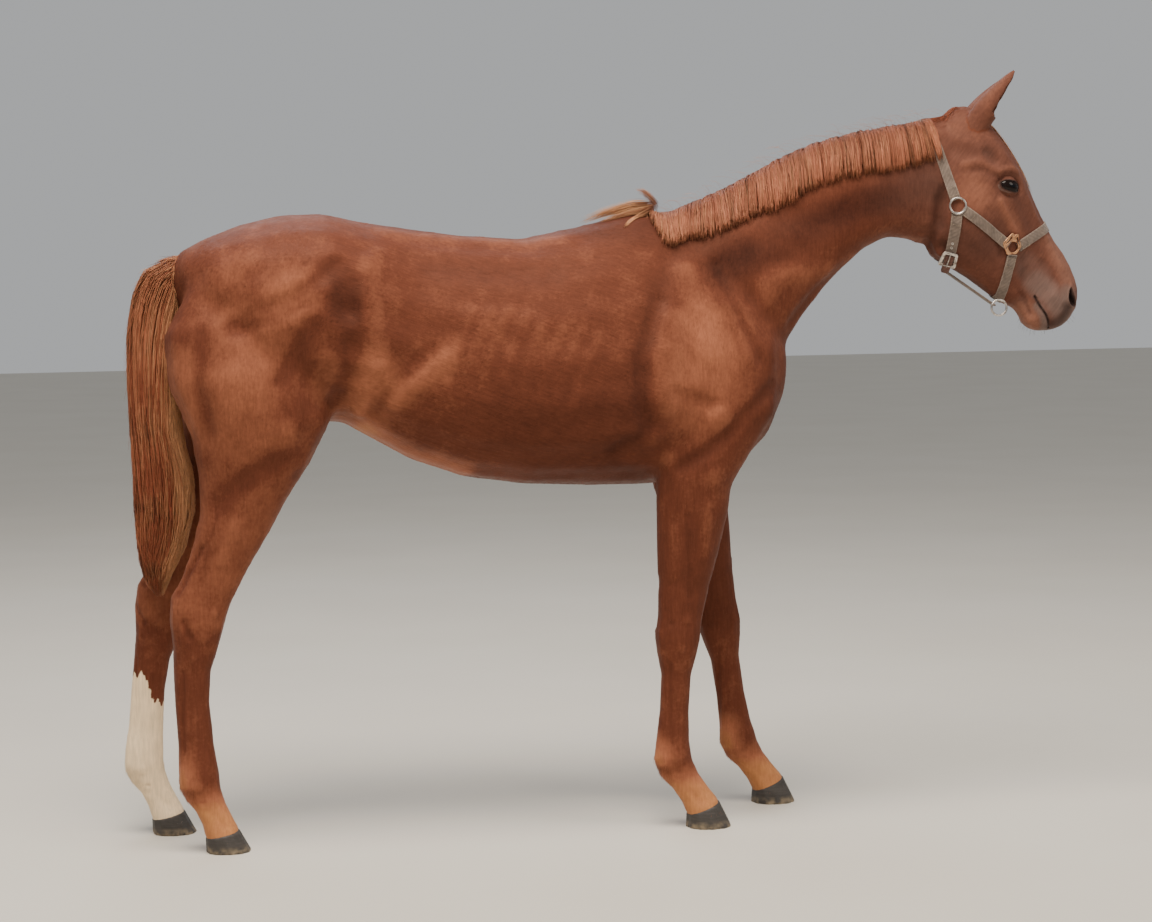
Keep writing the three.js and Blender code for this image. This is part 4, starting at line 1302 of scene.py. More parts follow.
def eye_material(tack):
    """A wet, clear cornea over a brown iris with a level pupil; dark brown round the iris."""
    material, tree = new_material("wet_dark_eye")
    across, above = [
        add_node(tree, "ShaderNodeAttribute", attribute_name=name).outputs["Fac"]
        for name in ("across", "above")
    ]
    place = add_node(tree, "ShaderNodeCombineXYZ", {"X": across, "Y": above})
    wide, high = PUPIL
    narrowed = add_node(
        tree, "ShaderNodeVectorMath", {0: place, 1: (1 / wide, 1 / high, 0)}, operation="MULTIPLY"
    )
    from_pupil = add_node(tree, "ShaderNodeVectorMath", {0: narrowed}, operation="LENGTH")
    from_middle = add_node(tree, "ShaderNodeVectorMath", {0: place}, operation="LENGTH")
    around = add_node(tree, "ShaderNodeMath", {0: above, 1: across}, operation="ARCTAN2")
    turn = add_node(tree, "ShaderNodeCombineXYZ", {"X": around})
    fibres = add_node(tree, "ShaderNodeTexNoise", {"Vector": turn, "Scale": 12.0, "Detail": 3.0})
    iris = add_node(
        tree,
        "ShaderNodeMix",
        {"Factor": fibres, "A": dimmed(tack.iris, 0.3), "B": dimmed(tack.iris, 0.8)},
        data_type="RGBA",
    )
    outside = add_node(
        tree, "ShaderNodeMapRange", {"Value": from_middle, "From Min": IRIS, "From Max": IRIS + 3}
    )
    ringed = add_node(
        tree,
        "ShaderNodeMix",
        {"Factor": outside, "A": iris, "B": linear("160d0a")},
        data_type="RGBA",
    )
    open_iris = add_node(
        tree, "ShaderNodeMapRange", {"Value": from_pupil, "From Min": 0.9, "From Max": 1.1}
    )
    base = add_node(
        tree,
        "ShaderNodeMix",
        {"Factor": open_iris, "A": linear("05060a"), "B": ringed},
        data_type="RGBA",
    )
    shader = add_node(
        tree,
        "ShaderNodeBsdfPrincipled",
        {
            "Base Color": base,
            "Roughness": 0.15,
            "IOR": 1.376,
            "Specular IOR Level": 0.1,
            "Coat Weight": 0.3,
            "Coat Roughness": 0.03,
        },
    )
    add_node(tree, "ShaderNodeOutputMaterial", {"Surface": shader})
    return material


class HORSE_OT_eyes(bpy.types.Operator):
    """Makes the two eyeballs, which sit behind the lids"""

    bl_idname = "horse.eyes"
    bl_label = "Eyes"

    def execute(self, context):
        material = eye_material(context.scene.horse_tack)
        for name in SIDES:
            facing = eye_facing(name)
            bm = bmesh.new()
            bmesh.ops.create_uvsphere(bm, u_segments=40, v_segments=24, radius=1)
            local = np.array([v.co for v in bm.verts]) * np.array(EYE_BALL) * MM
            move_to(bm, facing.world(local))
            bmesh.ops.recalc_face_normals(bm, faces=bm.faces)
            mesh = finished(bm, f"eyeball_{name}")
            store(mesh, "across", local[:, 0] / MM)
            store(mesh, "above", local[:, 1] / MM)
            add_object(f"eyeball_{name}", mesh, material, [f"eye_{name}"])
        return {"FINISHED"}


HOOF_GRID = 3.2
GROWTH_RING = 7.5  # from one growth ring of the hoof to the next
RING_RAISE = 0.28
CHIP_DEPTH = 5.0
CHIP_FROM = 0.55  # a chip is where two waves round the edge are together above this
GROUND_EDGE = 1.5  # points lower than this are on the ground


def hoof_material(tack):
    """Hoof horn: dull grey keratin, ringed by its growth and streaked down the wall, with dust."""
    material, tree = new_material("dark_hoof_horn")
    place = add_node(tree, "ShaderNodeTexCoord").outputs["Object"]
    tall = add_node(tree, "ShaderNodeMapping", {"Vector": place, "Scale": (1, 1, 0.08)})
    level = add_node(tree, "ShaderNodeMapping", {"Vector": place, "Scale": (0.1, 0.1, 1)})
    tubules, rings, dust = [
        add_node(tree, "ShaderNodeTexNoise", {"Vector": where, "Scale": scale, "Detail": detail})
        for where, scale, detail in ((tall, 400.0, 3.0), (level, 170.0, 2.0), (place, 50.0, 4.0))
    ]
    horn = add_node(
        tree,
        "ShaderNodeMix",
        {"Factor": tubules, "A": dimmed(tack.horn, 0.6), "B": tack.horn},
        data_type="RGBA",
    )
    pale = add_node(
        tree,
        "ShaderNodeMapRange",
        {"Value": rings, "From Min": 0.45, "From Max": 0.7, "To Max": 0.4},
    )
    ringed = add_node(
        tree,
        "ShaderNodeMix",
        {"Factor": pale, "A": horn, "B": dimmed(tack.horn, 1.7)},
        data_type="RGBA",
    )
    height = add_node(tree, "ShaderNodeSeparateXYZ", {"Vector": place}).outputs["Z"]
    low = add_node(
        tree, "ShaderNodeMapRange", {"Value": height, "From Min": 0.022, "From Max": 0.0}
    )
    patches = add_node(
        tree,
        "ShaderNodeMapRange",
        {"Value": dust, "From Min": 0.4, "From Max": 0.65, "To Max": 0.75},
    )
    dusty = add_node(tree, "ShaderNodeMath", {0: patches, 1: low}, operation="MULTIPLY")
    base = add_node(
        tree,
        "ShaderNodeMix",
        {"Factor": dusty, "A": ringed, "B": linear("a99576")},
        data_type="RGBA",
    )
    rough = add_node(
        tree,
        "ShaderNodeMapRange",
        {"Value": dust, "From Min": 0.3, "From Max": 0.7, "To Min": 0.5, "To Max": 0.75},
    )
    relief = add_node(
        tree, "ShaderNodeMath", {0: tubules, 1: 0.4, 2: rings}, operation="MULTIPLY_ADD"
    )
    bump = add_node(
        tree, "ShaderNodeBump", {"Height": relief, "Strength": 0.5, "Distance": 0.0008}
    )
    shader = add_node(
        tree, "ShaderNodeBsdfPrincipled", {"Base Color": base, "Roughness": rough, "Normal": bump}
    )
    add_node(tree, "ShaderNodeOutputMaterial", {"Surface": shader})
    return material


class HORSE_OT_hooves(bpy.types.Operator):
    """Makes the four hooves, with growth rings, chipped edges and flat soles"""

    bl_idname = "horse.hooves"
    bl_label = "Hooves"

    def execute(self, context):
        material = hoof_material(context.scene.horse_tack)
        for seed, limb in enumerate(LIMBS):
            node = f"hoof{limb[3:]}"
            grid = even_grid(node_copy(node), HOOF_GRID * MM, node)
            bm_relax(grid, 3, lambda points: fade(points[:, 2], 1 * MM, 5 * MM))
            mesh = finished(grid, f"wall_{node}")
            points, normals = points_of(mesh), normals_of(mesh)
            low, high = (np.array(corner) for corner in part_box(node))
            wall = (1 - np.abs(normals[:, 2])) ** 0.5
            slope = points[:, 2] + 0.32 * (points[:, 0] - low[0])
            rings = np.sin(slope * 2 * math.pi / (GROWTH_RING * MM) + seed)
            points += normals * (RING_RAISE * MM * rings * wall)[:, None]
            angle = np.arctan2(points[:, 1] - (low[1] + high[1]) / 2, points[:, 0] - low[0] - 0.03)
            waves = np.sin(angle * 9 + seed * 2) * np.sin(angle * 23 + seed)
            chips = (np.maximum(waves, CHIP_FROM) - CHIP_FROM) * fade(points[:, 2], 12 * MM, 0)
            points[:, :2] -= normals[:, :2] * (CHIP_DEPTH * MM * chips)[:, None]
            points[:, 2] = np.where(points[:, 2] < GROUND_EDGE * MM, 0, points[:, 2])
            set_points(mesh, points)
            add_object(f"wall_{node}", mesh, material, [node])
        return {"FINISHED"}


# ------------------------------------------------------------ hair as solid strands

STRAND_SIDES = 3
PATCH = 0.003  # size of a strand's place on the bake map
FLATNESS = 0.4


def strand_mesh(name, paths, half_widths, outward, roots_uv, marks, shading=None):
    """Closed three-sided strands, each tapering to its tip. Paths are strands x points x 3.

    Where shading is given, it is the normal that each strand is lit by.
    """
    count, steps, _ = paths.shape
    along = unit(np.gradient(paths, axis=1))
    across = unit(np.cross(along, outward[:, None, :]))
    over = np.cross(across, along)
    angles = math.pi / 2 + np.arange(STRAND_SIDES) * 2 * math.pi / STRAND_SIDES
    rings = paths[:, : steps - 1, None, :] + half_widths[:, : steps - 1, None, None] * (
        np.cos(angles)[:, None] * across[:, : steps - 1, None, :]
        + FLATNESS * np.sin(angles)[:, None] * over[:, : steps - 1, None, :]
    )
    per = STRAND_SIDES * (steps - 1) + 1
    points = np.concatenate([rings.reshape(count, -1, 3), paths[:, -1:, :]], axis=1)
    triangles = [[0, 1, 2]]
    for ring in range(steps - 2):
        for k in range(STRAND_SIDES):
            a = ring * STRAND_SIDES + k
            b = ring * STRAND_SIDES + (k + 1) % STRAND_SIDES
            triangles += [[b, a, b + STRAND_SIDES], [b + STRAND_SIDES, a, a + STRAND_SIDES]]
    last = (steps - 2) * STRAND_SIDES
    triangles += [[last + (k + 1) % STRAND_SIDES, last + k, per - 1] for k in range(STRAND_SIDES)]
    faces = (np.arange(count)[:, None, None] * per + np.array(triangles)).reshape(-1, 3)
    mesh = bpy.data.meshes.new(name)
    mesh.vertices.add(count * per)
    mesh.vertices.foreach_set("co", points.ravel())
    mesh.loops.add(faces.size)
    mesh.loops.foreach_set("vertex_index", faces.ravel())
    mesh.polygons.add(len(faces))
    mesh.polygons.foreach_set("loop_start", np.arange(len(faces)) * 3)
    mesh.polygons.foreach_set("use_smooth", np.ones(len(faces), bool))
    mesh.update(calc_edges=True)

    share = np.repeat(np.arange(steps - 1), STRAND_SIDES) / (steps - 1)
    share = np.append(share, 1.0)
    place = np.tile([0.0, 1.0, 0.5], steps - 1)
    place = np.append(place, 0.5)
    drop = np.where(place == 0.5, -0.2, 0.0) / (steps - 1)
    drop[-1] = 0
    flat = np.stack([place, share + drop], axis=1) * PATCH
    uv = (roots_uv[:, None, :] + flat[None]).reshape(-1, 2)
    layer = mesh.uv_layers.new(name="OFBake")
    layer.data.foreach_set("uv", uv[faces.ravel()].astype(np.float32).ravel())
    for mark, values in marks.items():
        store(mesh, mark, np.repeat(values, per))
    store(mesh, "along", np.tile(share, count))
    if shading is not None:
        mesh.normals_split_custom_set_from_vertices(np.repeat(shading, per, axis=0))
    return mesh


def skin_tree():
    return mesh_tree(bpy.data.objects["skin"].data)


def clear_of(tree, path, lift):
    """Lifts a path's points to at least their own heights over the skin."""
    for k, point in enumerate(path):
        hit, normal = tree.find_nearest(Vector(point), 0.05)[:2]
        if hit is None:
            continue
        height = (Vector(point) - hit).dot(normal)
        if height < lift[k]:
            path[k] = hit + normal * lift[k]
    return path


def hair_material(hair, name, body):
    """Long, straight hair: satin along its length, each strand a little different."""
    material, tree = new_material(name)
    tone, along, pale = [
        add_node(tree, "ShaderNodeAttribute", attribute_name=mark).outputs["Fac"]
        for mark in ("tone", "along", "pale")
    ]
    place = add_node(tree, "ShaderNodeTexCoord").outputs["Object"]
    level = add_node(tree, "ShaderNodeMapRange", {"Value": tone, "From Min": -1.0})
    shade = add_node(
        tree,
        "ShaderNodeValToRGB",
        {"Fac": level},
        [(0.1, hair.roots), (0.5, body), (0.95, dimmed(body, 1.25))],
    )
    grown = add_node(
        tree, "ShaderNodeMapRange", {"Value": along, "From Min": -0.1, "From Max": 0.35}
    )
    golden = add_node(tree, "ShaderNodeMath", {0: pale, 1: grown}, operation="MULTIPLY")
    shade = add_node(
        tree, "ShaderNodeMix", {"Factor": golden, "A": shade, "B": hair.flaxen}, data_type="RGBA"
    )
    root = add_node(
        tree,
        "ShaderNodeMapRange",
        {"Value": along, "From Min": 0.5, "From Max": 0.0, "To Min": 0.0, "To Max": 0.6},
    )
    shade = add_node(
        tree, "ShaderNodeMix", {"Factor": root, "A": shade, "B": hair.roots}, data_type="RGBA"
    )
    patches = add_node(tree, "ShaderNodeTexNoise", {"Vector": place, "Scale": 83.0, "Detail": 2.0})
    grain = add_node(
        tree,
        "ShaderNodeMapRange",
        {"Value": patches, "From Min": 0.3, "From Max": 0.7, "To Min": 0.88, "To Max": 1.1},
    )
    base = add_node(
        tree, "ShaderNodeVectorMath", {0: shade, "Scale": grain}, operation="SCALE"
    )
    shader = add_node(
        tree,
        "ShaderNodeBsdfPrincipled",
        {
            "Base Color": base,
            "Roughness": 0.45,
            "Specular IOR Level": 0.4,
            "Specular Tint": linear("ecbb98"),
        },
    )
    add_node(tree, "ShaderNodeOutputMaterial", {"Surface": shader})
    return material


def add_strands(name, nodes, material, strands, limit=195000):
    """Adds strands as one piece, or as several of at most `limit` triangles."""
    count, steps, _ = strands["paths"].shape
    triangles = 2 * STRAND_SIDES * (steps - 2) + STRAND_SIDES + 1
    pieces = math.ceil(count * triangles / limit)
    for k, chosen in enumerate(np.array_split(np.arange(count), pieces)):
        label = f"{name}_{k + 1}" if pieces > 1 else name
        mesh = strand_mesh(
            label,
            strands["paths"][chosen],
            strands["widths"][chosen],
            strands["outward"][chosen],
            strands["uv"][chosen],
            {mark: values[chosen] for mark, values in strands["marks"].items()},
            strands["shading"][chosen] if "shading" in strands else None,
        )
        add_object(label, mesh, material, nodes if k == 0 else ())


def taper(steps, width, start=0.75, tip=0.25):
    """A strand's half widths from root to tip."""
    t = np.linspace(0, 1, steps)
    return 0.5 * width * (start + (1 - start) * fade(t, 0, 0.2)) * (1 - (1 - tip) * fade(t, 0.55, 1))


# The lower edge of the mane, as shares of its node, from the poll to the withers.
MANE_EDGE = [
    (1.0, 0.65),
    (0.94, 0.585),
    (0.86, 0.545),
    (0.77, 0.51),
    (0.715, 0.48),
    (0.66, 0.415),
    (0.6, 0.32),
    (0.545, 0.25),
    (0.49, 0.19),
    (0.43, 0.13),
    (0.38, 0.07),
    (0.32, 0.03),
    (0.265, 0.0),
    (0.248, 0.02),
    (0.235, 0.07),
    (0.222, 0.14),
    (0.2, 0.27),
]
# Locks on the withers: their line from root to tip as shares of the mane, how far to the right
# each lies at its root and tip, its strands, how loose it is, and how golden.
WITHERS_LOCKS = [
    ([(0.222, 0.31), (0.16, 0.315), (0.075, 0.255), (0.0, 0.18)], (-2, -10), 170, 6, 0.8),
    ([(0.222, 0.29), (0.15, 0.26), (0.05, 0.19)], (-8, -26), 150, 6, 0.7),
    ([(0.215, 0.29), (0.16, 0.22), (0.117, 0.1)], (-14, -62), 80, 4, 0.6),
    ([(0.232, 0.3), (0.208, 0.38), (0.188, 0.42), (0.165, 0.435)], (2, -4), 70, 6, 0.35),
    ([(0.22, 0.29), (0.17, 0.27), (0.1, 0.22)], (6, 14), 90, 6, 0.6),
]
LOOSE_HAIRS = 110
LOOSE_WIDTH = 0.7
MANE_STEPS = 9
MANE_LIFT = 11.0
MANE_CLUMP = 10.0
LEAN_FRONT, LEAN_REAR = 0.14, -0.16  # how far forward the mane leans at its two ends
POLL_HAIRS = 520


class HORSE_OT_mane(bpy.types.Operator):
    """Makes the mane, which hangs on the right, and the pale hair over the withers"""

    bl_idname = "horse.mane"
    bl_label = "Mane"

    def execute(self, context):
        hair = context.scene.horse_hair
        rng = np.random.default_rng(11)
        tree = skin_tree()
        edge = side_view(MANE_EDGE, "mane")[::-1]
        first, last = edge[0, 0], edge[-1, 0]
        count = hair.mane_strands
        roots = np.sort(first + (last - first) * rng.random(count) ** 0.96)
        layer = rng.random(count)
        rough = rng.normal(0, 1, count)
        outline = BVHTree.FromBMesh(node_copy("mane"))
        paths = np.zeros((count, MANE_STEPS, 3))
        outward = np.zeros((count, 3))
        clump = np.floor(roots / (MANE_CLUMP * MM))
        lock = (clump - clump.min()).astype(int)
        middle = (clump + 0.5 + rng.normal(0, 0.45, lock.max() + 1)[lock]) * MANE_CLUMP * MM
        tones = rng.normal(0, 0.3, lock.max() + 1)[lock]
        ragged = rng.normal(0, 5, lock.max() + 1)[lock] + 22 * (rng.random(count) > 0.88)
        for k in range(count):
            side = rng.uniform(-9, 15) * MM
            hit, normal = from_above(tree, roots[k], side)
            top = from_above(outline, roots[k], side)[0]
            crest = (top.z - hit.z - 2 * MM) * (0.4 + 0.6 * layer[k]) if top else 0
            end = np.interp(roots[k], edge[:, 0], edge[:, 1])
            end += (4 * rough[k] + ragged[k] * (0.3 + 0.7 * layer[k])) * MM
            forward = LEAN_FRONT * fade(roots[k], last - 0.14, last)
            forward += LEAN_REAR * fade(roots[k], first + 0.2, first)
            place = hit
            lift = (2.5 + MANE_LIFT * layer[k]) * MM
            paths[k, 0] = place - normal * 2 * MM
            for step in range(1, MANE_STEPS):
                fall = max(place.z - end, 2 * MM) / (MANE_STEPS - step)
                way = laid_along(Vector((forward, -0.7 if step < 4 else -0.15, -1)), normal)
                stretch = fall / max(-way.z, 0.45)
                hit, normal = tree.find_nearest(place + way * stretch)[:2]
                place = hit
                rise = min(1.0, 2.2 * step / MANE_STEPS) ** 0.6
                high = max(lift, crest * (1 - fade(step, 1.5, 5)))
                paths[k, step] = place + normal * high * rise
            outward[k] = normal
        t = np.linspace(0, 1, MANE_STEPS)
        pull = 0.5 * t**1.4
        paths[:, :, 0] += (middle - roots)[:, None] * pull
        paths[:, :, 0] += 1.2 * MM * np.sin(t * 7 + rough[:, None] * 3) * t
        toward_withers = fade(roots, first + 0.16, first)
        reach = (roots - first) / (last - first)
        strands = {
            "paths": paths,
            "widths": np.tile(taper(MANE_STEPS, hair.width, tip=0.45), (count, 1)),
            "outward": outward,
            "uv": np.stack([reach * 0.97, layer * 0.9], 1),
            "marks": {
                "tone": np.clip(tones + rng.normal(0, 0.3, count) - 0.2 * (1 - layer), -1, 1),
                "pale": np.clip(0.04 + 0.15 * toward_withers + rng.normal(0, 0.12, count), 0, 0.8),
            },
        }
        material = hair_material(hair, "long_chestnut_mane", hair.mane)
        add_strands("mane_hair", ["mane"], material, strands)
        self.withers_hair(context, tree, material)
        self.loose_hairs(context, tree, material, first, last)
        self.poll_hair(context, tree, hair_material(hair, "short_poll_hair", hair.tail), last)
        return {"FINISHED"}

    def withers_hair(self, context, tree, material):
        """Golden locks that lie back over the withers, and a tuft that curls up before them."""
        hair = context.scene.horse_hair
        rng = np.random.default_rng(12)
        steps = 9
        t = np.linspace(0, 1, steps)
        paths, widths, tones, pales = [], [], [], []
        for shares, sides, count, loose, pale in WITHERS_LOCKS:
            line = side_view(shares, "mane")
            where = np.linspace(0, 1, len(line))
            for _ in range(count):
                end = rng.uniform(0.6, 1.0)
                begin = rng.uniform(0, 0.15)
                at = begin + (end - begin) * t
                spread = rng.normal(0, loose, 2) * MM
                width = (1.2 - 0.75 * at) * (1 + 0.5 * rng.random() * at)
                wave = 2 * MM * np.sin(at * 5 + rng.uniform(0, 6.28)) * at
                path = np.stack(
                    [
                        np.interp(at, where, line[:, 0]),
                        (np.interp(at, (0, 1), sides) * MM + spread[0] * width + wave),
                        np.interp(at, where, line[:, 1]) + spread[1] * width + wave * 0.6,
                    ],
                    axis=1,
                )
                clear_of(tree, path, 2 * MM * np.minimum(1, t * 4))
                paths.append(path)
                widths.append(taper(steps, hair.width * 0.6, tip=0.2))
                tones.append(rng.normal(0.1, 0.35))
                pales.append(np.clip(rng.normal(pale, 0.2), 0, 1))
        count = len(paths)
        strands = {
            "paths": np.array(paths),
            "widths": np.array(widths),
            "outward": np.tile([0.0, -0.4, 0.9], (count, 1)),
            "uv": np.stack([np.linspace(0, 0.95, count), rng.random(count) * 0.9], 1),
            "marks": {"tone": np.array(tones), "pale": np.array(pales)},
        }
        add_strands("withers_hair", (), material, strands)

    def loose_hairs(self, context, tree, material, first, last):
        """Fine single hairs that stand off the crest."""
        rng = np.random.default_rng(14)
        count, steps = LOOSE_HAIRS, 6
        t = np.linspace(0, 1, steps)
        paths = np.zeros((count, steps, 3))
        for k in range(count):
            x = rng.uniform(first, last + 0.05)
            hit = from_above(tree, x, rng.uniform(-8, 6) * MM)[0]
            high = rng.uniform(18, 42) * MM
            back = rng.uniform(20, 90) * MM
            paths[k, :, 0] = hit.x - back * t**1.3
            paths[k, :, 1] = hit.y + rng.normal(0, 12) * MM * t
            slope = np.interp(hit.x - back, [first, last], [-0.35, -0.2])
            paths[k, :, 2] = hit.z - 2 * MM + high * np.sin(t * rng.uniform(1.3, 2.4)) + slope * back * t
        strands = {
            "paths": paths,
            "widths": np.tile(taper(steps, LOOSE_WIDTH * MM, tip=0.4), (count, 1)),
            "outward": np.tile([0.0, -0.3, 0.95], (count, 1)),
            "uv": np.stack([np.linspace(0, 0.95, count), rng.random(count) * 0.9], 1),
            "marks": {"tone": rng.normal(0.2, 0.3, count), "pale": rng.uniform(0, 0.5, count)},
        }
        add_strands("loose_hairs", (), material, strands)

    def poll_hair(self, context, tree, material, last):
        """Short hair that lies back from between the ears towards the crown strap."""
        hair = context.scene.horse_hair
        rng = np.random.default_rng(13)
        count, steps = POLL_HAIRS, 6
        begin = last + rng.uniform(0.0, 0.085, count)
        want = np.stack([-np.ones(count), rng.normal(-0.35, 0.3, count), np.full(count, -0.25)], 1)
        reach = rng.uniform(0.02, 0.045, count)
        level = rng.uniform(0.0, 0.3, count)
        paths, outward = self.laid(tree, begin, rng.normal(-4, 12, count) * MM, want, reach, steps, level)
        strands = {
            "paths": paths,
            "widths": np.tile(taper(steps, hair.width * 0.4, tip=0.2), (count, 1)),
            "outward": outward,
            "uv": np.stack([(begin - last) * 7, rng.random(count) * 0.9], 1),
            "marks": {
                "tone": rng.normal(-0.1, 0.2, count),
                "pale": np.zeros(count),
            },
        }
        add_strands("poll_hair", (), material, strands)

    def laid(self, tree, start, across, want, reach, steps, level):
        """Strands that leave the crest and follow the skin in a wanted direction.

        Each rises to its own level between the skin and the outline of the mane.
        """
        outline = BVHTree.FromBMesh(node_copy("mane"))
        count = len(start)
        paths, outward = np.zeros((count, steps, 3)), np.zeros((count, 3))
        for k in range(count):
            hit, normal = from_above(tree, start[k], across[k])
            paths[k, 0] = hit - normal * 2 * MM
            for step in range(1, steps):
                way = laid_along(Vector(want[k]), normal)
                hit, normal = tree.find_nearest(hit + way * (reach[k] / (steps - 1)))[:2]
                top = from_above(outline, hit.x, hit.y)[0]
                room = max(top.z - hit.z, 0) if top else 0
                rise = (1.5 * MM + 4 * MM * level[k]) * min(1.0, 2.5 * step / steps)
                paths[k, step] = hit + normal * max(rise, room * level[k] * min(1.0, 2.5 * step / steps))
            outward[k] = normal
        return paths, outward


# The tail's rear and front edges from the dock to the tip, as shares of its node, and its
# half width in millimetres at each.
TAIL_REAR = [
    (0.94, 1.0),
    (0.62, 0.99),
    (0.31, 0.96),
    (0.11, 0.885),
    (0.01, 0.77),
    (0.0, 0.635),
    (0.025, 0.5),
    (0.055, 0.36),
    (0.07, 0.24),
    (0.1, 0.125),
    (0.215, 0.045),
    (0.39, 0.0),
]
TAIL_FRONT = [
    (1.06, 0.94),
    (1.06, 0.91),
    (1.0, 0.86),
    (0.94, 0.79),
    (0.88, 0.715),
    (0.82, 0.61),
    (0.83, 0.49),
    (1.0, 0.36),
    (1.0, 0.25),
    (0.84, 0.15),
    (0.62, 0.07),
    (0.47, 0.005),
]
TAIL_WIDTHS = [20, 36, 46, 52, 56, 60, 62, 58, 48, 32, 18, 6]
TAIL_STEPS = 12
DOCK = 0.42  # how far down the tail its hair still grows, in shares
TAIL_CLUMPS = 90
TAIL_WAVE = 7.0
TAIL_INSIDE = 9.0
TAIL_GRID = 9.0
DOCK_HAIRS = 1100


